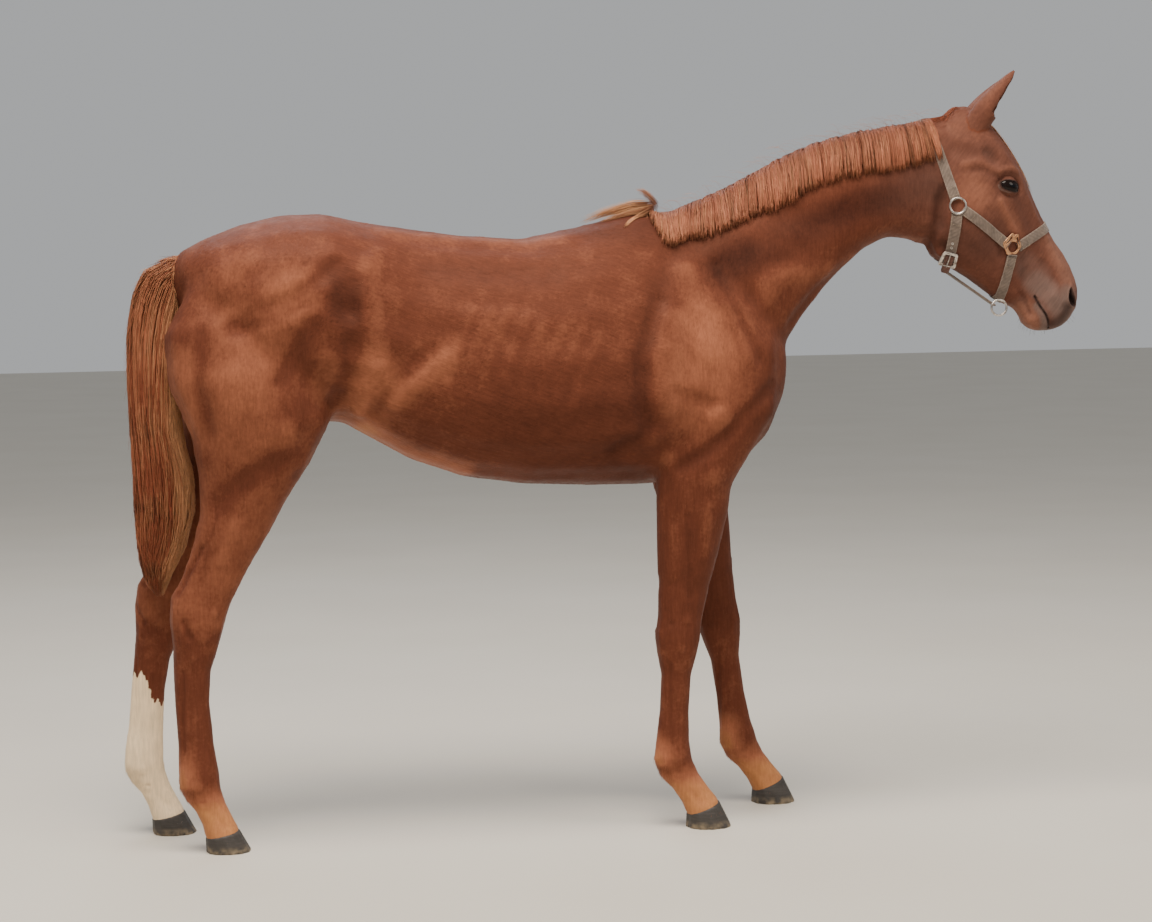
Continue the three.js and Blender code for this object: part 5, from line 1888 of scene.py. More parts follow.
class HORSE_OT_tail(bpy.types.Operator):
    """Makes the tail: a dark core on the dock and long hair in locks round it"""

    bl_idname = "horse.tail"
    bl_label = "Tail"

    def execute(self, context):
        hair = context.scene.horse_hair
        rng = np.random.default_rng(21)
        tree = skin_tree()
        rear, front = side_view(TAIL_REAR, "tail"), side_view(TAIL_FRONT, "tail")
        stations = np.linspace(0, 1, len(rear))

        def section(t):
            """Middle, half depth vector and half width of the tail at shares of its length."""
            ends = [
                np.stack([np.interp(t, stations, edge[:, k]) for k in (0, 1)], -1)
                for edge in (rear, front)
            ]
            middle, half = (ends[0] + ends[1]) / 2, (ends[1] - ends[0]) / 2
            return middle, half, np.interp(t, stations, TAIL_WIDTHS) * MM

        count = hair.tail_strands
        clump = rng.integers(0, TAIL_CLUMPS, count)
        home = rng.uniform(0, 2 * math.pi, TAIL_CLUMPS)
        reach = np.sqrt(rng.uniform(0.25, 1.0, TAIL_CLUMPS))
        spread = rng.normal(0, 0.35, (count, 2))
        round_it = home[clump] + spread[:, 0] * 1.4
        out = np.clip(reach[clump] + spread[:, 1] * 0.4, 0.3, 1.0)
        begin = DOCK * rng.random(count) ** 1.2
        finish = np.clip(begin + rng.uniform(0.42, 0.75, count) + 0.25 * rng.random(count), 0.5, 1.0)
        finish = np.minimum(finish, 1.0 - 0.06 * rng.random(count))
        steps = np.linspace(0, 1, TAIL_STEPS)
        t = begin[:, None] + (finish - begin)[:, None] * steps
        middle, half, width = section(t)
        gather = 0.55 * steps**2
        angle = round_it[:, None] * (1 - gather) + home[clump][:, None] * gather
        radius = out[:, None] * fade(steps, -0.25, 0.28)[None]
        radius = radius * (0.96 + 0.04 * rng.random((count, 1)))
        wave = TAIL_WAVE * MM * fade(t, 0.35, 0.8) * np.sin(
            t * 38 + rng.uniform(0, 6.28, TAIL_CLUMPS)[clump][:, None]
        )
        paths = np.zeros((count, TAIL_STEPS, 3))
        paths[:, :, 0] = middle[..., 0] + half[..., 0] * np.cos(angle) * radius + wave * 0.6
        paths[:, :, 1] = width * np.sin(angle) * radius + wave
        paths[:, :, 2] = middle[..., 1] + half[..., 1] * np.cos(angle) * radius
        lift = (1.5 + 5 * rng.random(count)) * MM
        for k in range(count):
            if np.cos(round_it[k]) > -0.2 or begin[k] < 0.12:
                clear_of(tree, paths[k], lift[k] * np.minimum(1, steps * 3))
        outward = np.stack([half[:, 3, 0] * np.cos(round_it), width[:, 3] * np.sin(round_it), 0 * out], 1)
        front_edge = fade(np.cos(round_it), 0.1, 0.8) * fade(out, 0.4, 0.8)
        near_dock = fade(begin, 0.22, 0.02)
        strands = {
            "paths": paths,
            "widths": np.tile(taper(TAIL_STEPS, hair.width * 1.4, tip=0.3), (count, 1)),
            "outward": unit(outward + 1e-6),
            "uv": np.stack([(round_it % (2 * math.pi)) / 6.4, begin * 2], 1),
            "marks": {
                "tone": np.clip(
                    rng.normal(0, 0.3, TAIL_CLUMPS)[clump] + rng.normal(0.05, 0.2, count), -1, 1
                ),
                "pale": np.clip(
                    0.75 * front_edge
                    + 0.2 * near_dock
                    + np.maximum(rng.normal(-0.1, 0.2, TAIL_CLUMPS), 0)[clump]
                    + rng.normal(0, 0.05, count),
                    0,
                    1,
                ),
            },
        }
        material = hair_material(hair, "long_chestnut_tail", hair.tail)
        core = even_grid(node_copy("tail"), TAIL_GRID * MM, "tail_core")
        bm_relax(core, 6, lambda points: np.ones(len(points)))
        core.normal_update()
        shrink = [(v, v.normal.copy()) for v in core.verts]
        for vertex, normal in shrink:
            vertex.co -= normal * TAIL_INSIDE * MM
        mesh = finished(core, "tail_core")
        size = len(mesh.vertices)
        for mark, value in (("tone", -0.3), ("pale", 0.0), ("along", 0.6)):
            store(mesh, mark, np.full(size, value))
        add_object("tail_core", mesh, material, ["tail"])
        add_strands("tail_hair", (), material, strands)
        self.head_of_tail(context, tree, material, section)
        return {"FINISHED"}

    def head_of_tail(self, context, tree, material, section):
        """Short, feathery hair over the dock, standing off its rear edge."""
        hair = context.scene.horse_hair
        rng = np.random.default_rng(22)
        count, steps = DOCK_HAIRS, 6
        begin = 0.7 * rng.random(count) ** 1.6
        angle = rng.uniform(0, 2 * math.pi, count)
        reach = rng.uniform(0.045, 0.11, count)
        t = begin[:, None] + reach[:, None] * np.linspace(0, 1, steps)
        middle, half, width = section(t)
        stand = 0.9 + 0.3 * rng.random((count, 1)) ** 2 * np.linspace(0, 1, steps)
        stand[:, 0] = 0.6
        paths = np.zeros((count, steps, 3))
        paths[:, :, 0] = middle[..., 0] + half[..., 0] * np.cos(angle)[:, None] * stand
        paths[:, :, 1] = width * np.sin(angle)[:, None] * stand
        paths[:, :, 2] = middle[..., 1] + half[..., 1] * np.cos(angle)[:, None] * stand
        for k in range(count):
            clear_of(tree, paths[k], 3 * MM * np.linspace(0, 1, steps))
        strands = {
            "paths": paths,
            "widths": np.tile(taper(steps, hair.width * 0.8, tip=0.2), (count, 1)),
            "outward": unit(
                np.stack([half[:, 1, 0] * np.cos(angle), width[:, 1] * np.sin(angle), 0 * angle], 1)
            ),
            "uv": np.stack([angle / 6.4, begin * 2], 1),
            "marks": {
                "tone": rng.normal(0.1, 0.35, count),
                "pale": np.clip(rng.normal(0.3, 0.2, count) * fade(begin, 0.45, 0.1), 0, 1),
            },
        }
        add_strands("dock_hair", (), material, strands)


class HORSE_OT_forelock(bpy.types.Operator):
    """Makes the forelock, between the ears and down the forehead"""

    bl_idname = "horse.forelock"
    bl_label = "Forelock"

    def execute(self, context):
        hair = context.scene.horse_hair
        rng = np.random.default_rng(31)
        tree = skin_tree()
        low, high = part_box("forelock")
        count, steps = hair.forelock_strands, 9
        start = low.x + rng.uniform(-0.012, 0.035, count)
        across = rng.normal(0, 9, count) * MM
        paths, outward = np.zeros((count, steps, 3)), np.zeros((count, 3))
        fall = rng.uniform(0.35, 1.0, count)
        for k in range(count):
            hit, normal = from_above(tree, start[k], across[k])
            paths[k, 0] = hit - normal * 2 * MM
            outward[k] = normal
            lift = (1.5 + 8 * rng.random()) * MM
            end = high.z + (low.z - high.z) * fall[k]
            bend = across[k] * 0.9 + rng.normal(0, 3) * MM
            for step in range(1, steps):
                drop = max(hit.z - end, 1 * MM) / (steps - step)
                way = laid_along(Vector((0.75, (bend - hit.y) * 3, -1.0)), normal)
                hit, normal = tree.find_nearest(hit + way * drop / max(-way.z, 0.4))[:2]
                paths[k, step] = hit + normal * lift * min(1, 2 * step / steps)
        strands = {
            "paths": paths,
            "widths": np.tile(taper(steps, hair.width * 0.8, tip=0.2), (count, 1)),
            "outward": outward,
            "uv": np.stack([(start - start.min()) * 18, 0.4 + across * 8], 1),
            "marks": {
                "tone": rng.normal(0, 0.35, count),
                "pale": np.clip(rng.normal(0.55, 0.25, count), 0, 1),
            },
        }
        strands["uv"] = np.clip(strands["uv"], 0, 0.99)
        material = hair_material(hair, "long_chestnut_forelock", hair.mane)
        add_strands("forelock_hair", ["forelock"], material, strands)
        return {"FINISHED"}


# ------------------------------------------------------------ coat

# Cylinders that the coat's bake map is unrolled from: a name, the two ends of its middle line
# as shares of that node's box, and the corner and size of its place on the map.
CHARTS = {
    "trunk": ([(0.0, 0.5), (1.0, 0.5)], (0.0, 0.0), (0.62, 0.6)),
    "neck": ([(0.0, 0.3), (1.0, 0.75)], (0.64, 0.0), (0.35, 0.29)),
    "head": ([(0.1, 0.75), (0.9, 0.1)], (0.64, 0.31), (0.35, 0.29)),
}


def unrolled(points, line, corner, size):
    """Places of points on a cylinder's chart: angle round its line and share along it."""
    (ax, az), (bx, bz) = line
    start, axis = np.array([ax, 0, az]), np.array([bx - ax, 0, bz - az])
    span = np.linalg.norm(axis)
    axis = axis / span
    along = (points - start) @ axis / span
    up = np.cross(axis, [0, 1, 0])
    angle = np.arctan2(points[:, 1], (points - start) @ up) / (2 * math.pi) + 0.5
    flat = np.stack([angle, np.clip(along * 0.8 + 0.1, 0, 1)], 1)
    return np.array(corner) + flat * (np.array(size) - PATCH)


def unwrap(points):
    """The root places of tufts on the bake map, from cylinders round the trunk, head and legs."""
    flat = unrolled(points, side_view(CHARTS["trunk"][0], "trunk"), *CHARTS["trunk"][1:])
    for node in ("neck", "head"):
        line, corner, size = CHARTS[node]
        inside = points[:, 0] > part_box(node)[0].x + 0.06
        flat[inside] = unrolled(points[inside], side_view(line, node), corner, size)
    trunk_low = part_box("trunk")[0]
    for k, limb in enumerate(LIMBS):
        low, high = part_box(f"{limb}_cannon")
        right = points[:, 1] < 0 if limb.endswith("right") else points[:, 1] >= 0
        fore = points[:, 0] > -0.3 if "fore" in limb else points[:, 0] <= -0.3
        inside = right & fore & (points[:, 2] < trunk_low.z + 0.02)
        middle = (low.x + high.x) / 2
        line = [(middle, 0.0), (middle, trunk_low.z)]
        shifted = points[inside] - np.array([0, (low.y + high.y) / 2, 0])
        flat[inside] = unrolled(shifted, line, (0.25 * k, 0.62), (0.245, 0.37))
    return flat


def scatter(mesh, count, rng, density):
    """Random places on a mesh, by area and density: their points, normals and a way to read marks."""
    mesh.calc_loop_triangles()
    corners = np.empty(len(mesh.loop_triangles) * 3, int)
    mesh.loop_triangles.foreach_get("vertices", corners)
    corners = corners.reshape(-1, 3)
    points, normals = points_of(mesh), normals_of(mesh)
    a, b, c = (points[corners[:, k]] for k in range(3))
    area = np.linalg.norm(np.cross(b - a, c - a), axis=1) * density[corners].mean(1)
    chosen = corners[rng.choice(len(area), count, p=area / area.sum())]
    weights = rng.dirichlet((1, 1, 1), count)[:, :, None]

    def read(values):
        return (values[chosen] * weights[:, :, 0]).sum(1)

    return (points[chosen] * weights).sum(1), unit((normals[chosen] * weights).sum(1)), read


TUFT_RISE = 0.045  # how steeply a tuft leaves the skin
FACE_TUFT = 5.0
LEG_TUFT = 8.0
CORONET_TUFT = 13.0
FETLOCK_TUFT = 16.0
WHISKERS, WHISKER_WIDTH = 50, 0.35
LASHES = 46


class HORSE_OT_coat(bpy.types.Operator):
    """Makes the coat's tufts, which lie along the body and break its outline"""

    bl_idname = "horse.coat"
    bl_label = "Coat"

    def execute(self, context):
        coat = context.scene.horse_coat
        rng = np.random.default_rng(41)
        mesh = bpy.data.objects["skin"].data
        points = points_of(mesh)
        ear, bare = mark_of(mesh, "ear"), mark_of(mesh, "bare")
        head = near_box(points, "head", 20 * MM)
        legs = fade(points[:, 2], 0.62, 0.45)
        density = (1 + 2.0 * head + 2.2 * legs) * (1 + 2 * ear) * (bare < 0.3)
        density = density * (points[:, 2] > 45 * MM)
        roots, normals, read = scatter(mesh, coat.tufts, rng, density)
        head, legs, ear = read(head), read(legs), read(ear)
        lie = hair_lie(roots) + rng.normal(0, 0.05, roots.shape)
        lie[ear > 0.5] = (0.1, 0, 1)
        lie = unit(lie - normals * (lie * normals).sum(1)[:, None])
        size = coat.tuft + (FACE_TUFT * MM - coat.tuft) * np.maximum(head, ear)
        size = size + (LEG_TUFT * MM - size) * legs
        rise = np.full(len(roots), TUFT_RISE)
        for limb in LIMBS:
            low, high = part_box(f"{limb}_pastern")
            hoof_low, hoof_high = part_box(f"hoof{limb[3:]}")
            leg = near_box(roots, f"{limb}_pastern", 12 * MM)
            slope = (hoof_high.z - 0.02 - 0.022) / max(hoof_high.x - hoof_low.x, 1e-6)
            line = hoof_low.z + 0.03 + slope * (roots[:, 0] - hoof_low.x)
            fringe = leg * (1 - fade(roots[:, 2] - line, 4 * MM, 16 * MM))
            size = size + (CORONET_TUFT * MM - size) * fringe
            rise = rise + 0.22 * fringe
            tuft = leg * fade(roots[:, 0], low.x + 0.055, low.x + 0.03)
            tuft = tuft * fade(roots[:, 2], low.z, high.z - 0.03)
            size = size + (FETLOCK_TUFT * MM - size) * tuft
            rise = rise + 0.15 * tuft
        size = size * rng.uniform(0.75, 1.2, len(roots))
        rise = rise * rng.uniform(0.5, 1.4, len(roots))
        way = unit(lie + normals * rise[:, None])
        paths = np.stack([roots - normals * 0.6 * MM, roots + way * size[:, None]], 1)
        width = coat.tuft_width * (0.6 + 0.4 * np.clip(size / coat.tuft, 0, 1))
        # The tufts take over the skin's marks, its painted light and shade among them.
        marks = {name: read(mark_of(mesh, name)) for name in COAT_MARKS}
        marks["bare"] = np.zeros(len(roots))
        marks["tone"] = rng.normal(0, 0.45, len(roots))
        uv = unwrap(roots)
        shading = unit(normals + rng.normal(0, 0.09, normals.shape))
        material = coat_material(coat, "coat_tufts", False)
        fore = roots[:, 0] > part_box("neck")[0].x + 0.15
        low_down = roots[:, 2] < 0.8
        for name, chosen in (
            ("coat_of_head_and_neck", fore & ~low_down),
            ("coat_of_trunk", ~fore & ~low_down),
            ("coat_of_legs", low_down),
        ):
            strands = {
                "paths": paths[chosen],
                "widths": np.stack([width, width], 1)[chosen] / 2,
                "outward": normals[chosen],
                "uv": uv[chosen],
                "marks": {mark: values[chosen] for mark, values in marks.items()},
                "shading": shading[chosen],
            }
            add_strands(name, (), material, strands)
        self.whiskers(context, mesh, coat)
        return {"FINISHED"}

    def whiskers(self, context, mesh, coat):
        """Stiff single hairs on the chin and the lips, and the lashes of the upper lids."""
        rng = np.random.default_rng(42)
        points = points_of(mesh)
        chin = blob(points, "head", [(0.66, 0.05), (0.74, 0.0)], 34)
        lip = blob(points, "head", [(0.84, 0.05), (0.95, 0.06)], 30)
        sparse = 0.02 * blob(points, "head", [(0.42, 0.2), (0.55, 0.12)], 60)
        density = (chin + 0.5 * lip + sparse) * near_box(points, "head", 5 * MM)
        roots, normals, _ = scatter(mesh, WHISKERS, rng, density)
        lashes, lash_ways = [], []
        for name in SIDES:
            facing = eye_facing(name)
            upper = [p for p in eye_opening() if p[1] > 0.3 * EYE_ABOVE * MM]
            for _ in range(LASHES):
                along = upper[rng.integers(len(upper))] + rng.normal(0, 1.2, 2) * MM
                height = ball_height(np.array([along]))[0] + LID * MM
                flat = np.array([[along[0], along[1] + 1.0 * MM, height]])
                lashes.append(facing.world(flat)[0])
                lash_ways.append(facing.out + 0.25 * facing.up - 0.35 * facing.forward)
        reach = np.concatenate([rng.uniform(9, 22, len(roots)), rng.uniform(7, 12, len(lashes))]) * MM
        ways = np.concatenate([normals + [0.25, 0, -0.45], np.array(lash_ways)])
        ways = unit(ways + rng.normal(0, 0.12, ways.shape))
        roots = np.concatenate([roots, np.array(lashes)])
        steps = np.linspace(0, 1, 4)
        paths = roots[:, None] + ways[:, None] * (reach[:, None] * steps)[:, :, None]
        paths[:, :, 2] -= (reach[:, None] * 0.25) * steps**2
        strands = {
            "paths": paths,
            "widths": np.tile(taper(4, WHISKER_WIDTH * MM, tip=0.3), (len(roots), 1)),
            "outward": unit(np.cross(ways, [0, 0, 1]) + 1e-6),
            "uv": unwrap(roots),
            "marks": {"tone": np.full(len(roots), -0.1), "pale": np.zeros(len(roots))},
        }
        material = hair_material(context.scene.horse_hair, "stiff_dark_whiskers", coat.dark)
        add_strands("whiskers_and_lashes", (), material, strands)


# ------------------------------------------------------------ halter

# Places on the halter in the side view, as shares of the head's node.
UPPER_RING = (0.162, 0.558)
NOSE_RING = (0.532, 0.362)
CHIN = (0.467, 0.118)
THROAT = (0.125, 0.247)
NOSE = (0.79, 0.464)
POLL = (-0.03, 1.012)
RING_RADIUS = 21.0
RING_WIRE = 3.0
LAP = 34.0  # length of a strap's end that is folded back under it and sewn
SLACK = 0.8  # gap between a strap and the skin
NOSE_PIECE = [(-17, -19), (10, -19), (24, -1), (13, 34), (7, 33), (3, 29), (-1, 36), (-5, 36), (-30, 12)]
NOSE_SLOTS = [[(-22, 11), (-18, 7), (-2, 24), (-6, 29)], [(7, 24), (12, 29), (20, 6), (17, 2)]]
NOSE_HOLE = 15.5
NOSE_THICK = 5.0
BUCKLE_OUTER = [(-19.5, 24), (19.5, 24), (23.5, -24), (-23.5, -24)]
BUCKLE_INNER = [(-14, 18), (14, 18), (17, -17), (-17, -17)]
BUCKLE_THICK = 4.0
BUCKLE_DOWN = 150.0
STITCH = (1.5, 0.55, 0.45)  # half the length, width and height of one stitch
STITCH_EDGE = 0.86  # place of a seam's rows across the strap, as a share of its half width
SEAM_ENDS = 0.78
TONGUE = (14.0, -46.0)  # from where to where the strap end runs past the buckle
TONGUE_HALF = 11.5
BUCKLE_LIFT = 1.2
ROLLER = (3.4, 38.0, -20.5)  # the roller's radius and length, and its place along the buckle
PRONG = (1.5, 2.2, 44.0)  # the prong's radius at its tip and root, and its length
EYELETS = (34.0, 46.0)  # how far above the buckle each is
# How far from its middle a fitting holds each strap.
HELD_NOSEBAND = 20.0
HELD_CHIN = 16.5
HELD_CHEEK = 24.0
COLUMNS = 5
CENTRE = COLUMNS // 2


def taut(reach, turn):
    """Pulls a band's distances from its middle tight, as a strap bridges the hollows."""
    for _ in range(2500):
        chord = 2 * reach[:-2] * reach[2:] * math.cos(turn) / (reach[:-2] + reach[2:])
        reach[1:-1] = np.maximum(reach[1:-1], chord)
    return reach


def lay_strap(tree, starts, ways, turn, lift):
    """The outer face of a strap over the skin; starts and ways are steps x columns x 3."""
    reach = np.zeros(starts.shape[:2])
    for i, j in np.ndindex(*reach.shape):
        hit = tree.ray_cast(Vector(starts[i, j]), Vector(ways[i, j]), 0.5)
        reach[i, j] = hit[3] if hit[0] is not None else reach[max(i - 1, 0), j]
    for j in range(COLUMNS):
        taut(reach[:, j], turn)
    across = np.linspace(-1, 1, COLUMNS)
    flat = reach.mean(1)[:, None] + (reach @ across / (across @ across))[:, None] * across
    gap = np.maximum((reach - flat).max(1), 0)
    for _ in range(8):
        gap[1:-1] = np.maximum(gap[1:-1], (gap[:-2] + gap[2:]) / 2)
    return starts + ways * (flat + gap[:, None] + lift[:, None])[:, :, None]


def strap_mesh(name, face, thickness, width):
    """A closed strap from its outer face, with rounded edges and the measure of its weave."""
    steps, columns = face.shape[:2]
    bm = bmesh.new()
    bmesh.ops.create_grid(bm, x_segments=steps - 1, y_segments=columns - 1, size=1)
    middle = face[:, columns // 2]
    along = np.append(0, np.cumsum(np.linalg.norm(np.diff(middle, axis=0), axis=1)))
    weave = []
    for vertex in bm.verts:
        i = round((vertex.co.x + 1) / 2 * (steps - 1))
        j = round((vertex.co.y + 1) / 2 * (columns - 1))
        vertex.co = face[i, j]
        weave.append((along[i], (j / (columns - 1) - 0.5) * width))
    centre = face.reshape(-1, 3).mean(0) * np.array([1, 0, 1])
    bm.normal_update()
    facing = sum((f.calc_center_median() - Vector(centre)).dot(f.normal) for f in bm.faces)
    if facing < 0:
        bmesh.ops.reverse_faces(bm, faces=bm.faces)
    mesh = finished(bm, name)
    store(mesh, "weave_along", [w[0] for w in weave])
    store(mesh, "weave_across", [w[1] for w in weave])
    piece = drafted(name, mesh)
    thick = piece.modifiers.new("Thickness", "SOLIDIFY")
    thick.thickness = thickness
    thick.offset = -1
    edge = piece.modifiers.new("Rounded edges", "BEVEL")
    edge.width = 0.3 * thickness
    edge.segments = 2
    edge.limit_method = "ANGLE"
    edge.angle_limit = math.radians(50)
    return worked(piece)


def outline_solid(name, outlines, thickness, bevel):
    """A flat plate with holes from closed outlines in millimetres; points are rounded off."""
    curve = bpy.data.curves.new(name, "CURVE")
    curve.dimensions = "2D"
    curve.fill_mode = "BOTH"
    curve.extrude = (thickness / 2 - bevel) * MM
    curve.bevel_depth = bevel * MM
    curve.bevel_resolution = 2
    for outline in outlines:
        spline = curve.splines.new("POLY")
        spline.points.add(len(outline) - 1)
        for point, (x, y) in zip(spline.points, outline):
            point.co = (x * MM, y * MM, 0, 1)
        spline.use_cyclic_u = True
    bm = bmesh.new()
    bm.from_mesh(worked(drafted(name, curve)))
    bmesh.ops.remove_doubles(bm, verts=bm.verts, dist=0.01 * MM)
    return bm


def rounded(outline, radius, steps=4):
    """A closed outline whose corners are arcs of about a radius."""
    result = []
    count = len(outline)
    for k in range(count):
        before, corner, after = (np.array(outline[(k + d) % count], float) for d in (-1, 0, 1))
        reach = min(radius, 0.45 * min(np.linalg.norm(before - corner), np.linalg.norm(after - corner)))
        start, end = corner + unit(before - corner) * reach, corner + unit(after - corner) * reach
        for t in np.linspace(0, 1, steps):
            result.append((1 - t) ** 2 * start + 2 * t * (1 - t) * corner + t**2 * end)
    return result


def circle(radius, count=28):
    """The outline of a round hole."""
    angles = np.arange(count) * 2 * math.pi / count
    return [(radius * math.cos(a), radius * math.sin(a)) for a in angles]


def ring_solid(radius, wire):
    """A round ring lying flat on its middle, in millimetres."""
    bm = bmesh.new()
    bmesh.ops.create_circle(bm, segments=14, radius=wire * MM, cap_ends=False)
    turn = Matrix.Rotation(math.pi / 2, 3, "X")
    for vertex in bm.verts:
        vertex.co = turn @ vertex.co + Vector((radius * MM, 0, 0))
    bmesh.ops.spin(
        bm,
        geom=[*bm.verts, *bm.edges],
        axis=(0, 0, 1),
        cent=(0, 0, 0),
        angle=2 * math.pi,
        steps=48,
        use_merge=True,
        use_duplicate=False,
    )
    bmesh.ops.recalc_face_normals(bm, faces=bm.faces)
    return bm


def placed(bm, facing, name):
    """Moves a flat piece's points into a facing and makes its mesh."""
    move_to(bm, facing.world(np.array([v.co for v in bm.verts])))
    bmesh.ops.recalc_face_normals(bm, faces=bm.faces)
    return finished(bm, name)


def seat(tree, node, radius, height):
    """The facing of a round fitting: its node's own plane, lifted clear of the skin."""
    points = np.array([v.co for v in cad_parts[node].data.vertices])
    middle = (points.max(0) + points.min(0)) / 2
    outward = np.linalg.svd(points - points.mean(0), full_matrices=False)[2][2]
    side = -1.0 if middle[1] < 0 else 1.0
    outward = outward * side * (1 if outward[1] > 0 else -1)
    facing = Facing(middle, outward, 0)
    rim = [(radius * math.cos(a) * MM, radius * math.sin(a) * MM, 0.1) for a in np.arange(0, 6.2, 0.39)]
    starts = facing.world(np.array(rim))
    depths = [tree.ray_cast(Vector(p), Vector(-facing.out), 0.2)[3] for p in starts]
    clear = min(d for d in depths if d is not None)
    facing.place = facing.place + facing.out * (0.1 - clear + height * MM)
    return facing


def webbing_material(tack, name, body):
    """Flat woven cotton: fine ribs across the strap, worn pale at the edges, grey with dirt and with
    painted shade along the grooves of its weave.
    """
    material, tree = new_material(name)
    along, across = [
        add_node(tree, "ShaderNodeAttribute", attribute_name=mark).outputs["Fac"]
        for mark in ("weave_along", "weave_across")
    ]
    place = add_node(tree, "ShaderNodeCombineXYZ", {"X": along, "Y": across})
    cords = add_node(
        tree,
        "ShaderNodeTexWave",
        {"Vector": place, "Scale": 55.0, "Distortion": 0.6, "Detail": 1.0},
        bands_direction="DIAGONAL",
    ).outputs["Fac"]
    ribs = add_node(
        tree,
        "ShaderNodeTexWave",
        {"Vector": place, "Scale": 120.0, "Distortion": 0.4, "Detail": 0.0},
        bands_direction="Y",
    ).outputs["Fac"]
    dirt = add_node(tree, "ShaderNodeTexNoise", {"Vector": place, "Scale": 55.0, "Detail": 4.0})
    soiled = add_node(
        tree, "ShaderNodeMapRange", {"Value": dirt, "From Min": 0.35, "From Max": 0.7}
    )
    base = add_node(
        tree,
        "ShaderNodeMix",
        {"Factor": soiled, "A": body, "B": dimmed(body, 0.55)},
        data_type="RGBA",
    )
    edge = add_node(tree, "ShaderNodeMath", {0: across}, operation="ABSOLUTE")
    worn = add_node(
        tree,
        "ShaderNodeMapRange",
        {"Value": edge, "From Min": tack.strap * 0.36, "From Max": tack.strap * 0.5, "To Max": 0.5},
    )
    base = add_node(
        tree, "ShaderNodeMix", {"Factor": worn, "A": base, "B": dimmed(body, 1.5)}, data_type="RGBA"
    )
    # Painted shade: darker bands along the diagonal cords, standing in for the shade of the weave's
    # grooves.
    painted_groove_shade = add_node(tree, "ShaderNodeMath", {0: cords, 1: 0.35}, operation="MULTIPLY")
    base = add_node(
        tree,
        "ShaderNodeMix",
        {"Factor": painted_groove_shade, "A": base, "B": dimmed(body, 0.5)},
        data_type="RGBA",
    )
    relief = add_node(
        tree, "ShaderNodeMath", {0: ribs, 1: 0.6, 2: cords}, operation="MULTIPLY_ADD"
    )
    bump = add_node(
        tree, "ShaderNodeBump", {"Height": relief, "Strength": 0.6, "Distance": 0.0006}
    )
    shader = add_node(
        tree,
        "ShaderNodeBsdfPrincipled",
        {"Base Color": base, "Roughness": 0.8, "Sheen Weight": 0.2, "Normal": bump},
    )
    add_node(tree, "ShaderNodeOutputMaterial", {"Surface": shader})
    return material


def metal_material(name, tint, rough, dull):
    """Worn metal: bright where it is rubbed, duller and darker in patches."""
    material, tree = new_material(name)
    place = add_node(tree, "ShaderNodeTexCoord").outputs["Object"]
    wear = add_node(tree, "ShaderNodeTexNoise", {"Vector": place, "Scale": 110.0, "Detail": 4.0})
    scratches = add_node(
        tree, "ShaderNodeTexNoise", {"Vector": place, "Scale": 830.0, "Detail": 2.0}
    )
    dulled = add_node(
        tree, "ShaderNodeMapRange", {"Value": wear, "From Min": 0.45, "From Max": 0.7}
    )
    base = add_node(
        tree, "ShaderNodeMix", {"Factor": dulled, "A": tint, "B": dull}, data_type="RGBA"
    )
    uneven = add_node(
        tree,
        "ShaderNodeMapRange",
        {"Value": wear, "From Min": 0.3, "From Max": 0.75, "To Min": rough, "To Max": rough + 0.25},
    )
    bump = add_node(
        tree, "ShaderNodeBump", {"Height": scratches, "Strength": 0.25, "Distance": 0.0002}
    )
    shader = add_node(
        tree,
        "ShaderNodeBsdfPrincipled",
        {"Base Color": base, "Metallic": 1.0, "Roughness": uneven, "Normal": bump},
    )
    add_node(tree, "ShaderNodeOutputMaterial", {"Surface": shader})
    return material


def thread_material():
    """Pale waxed thread of the seams."""
    material, tree = new_material("pale_sewing_thread")
    place = add_node(tree, "ShaderNodeTexCoord").outputs["Object"]
    soiling = add_node(tree, "ShaderNodeTexNoise", {"Vector": place, "Scale": 250.0})
    base = add_node(
        tree,
        "ShaderNodeMix",
        {"Factor": soiling, "A": linear("b9a68c"), "B": linear("8c7a62")},
        data_type="RGBA",
    )
    shader = add_node(tree, "ShaderNodeBsdfPrincipled", {"Base Color": base, "Roughness": 0.7})
    add_node(tree, "ShaderNodeOutputMaterial", {"Surface": shader})
    return material


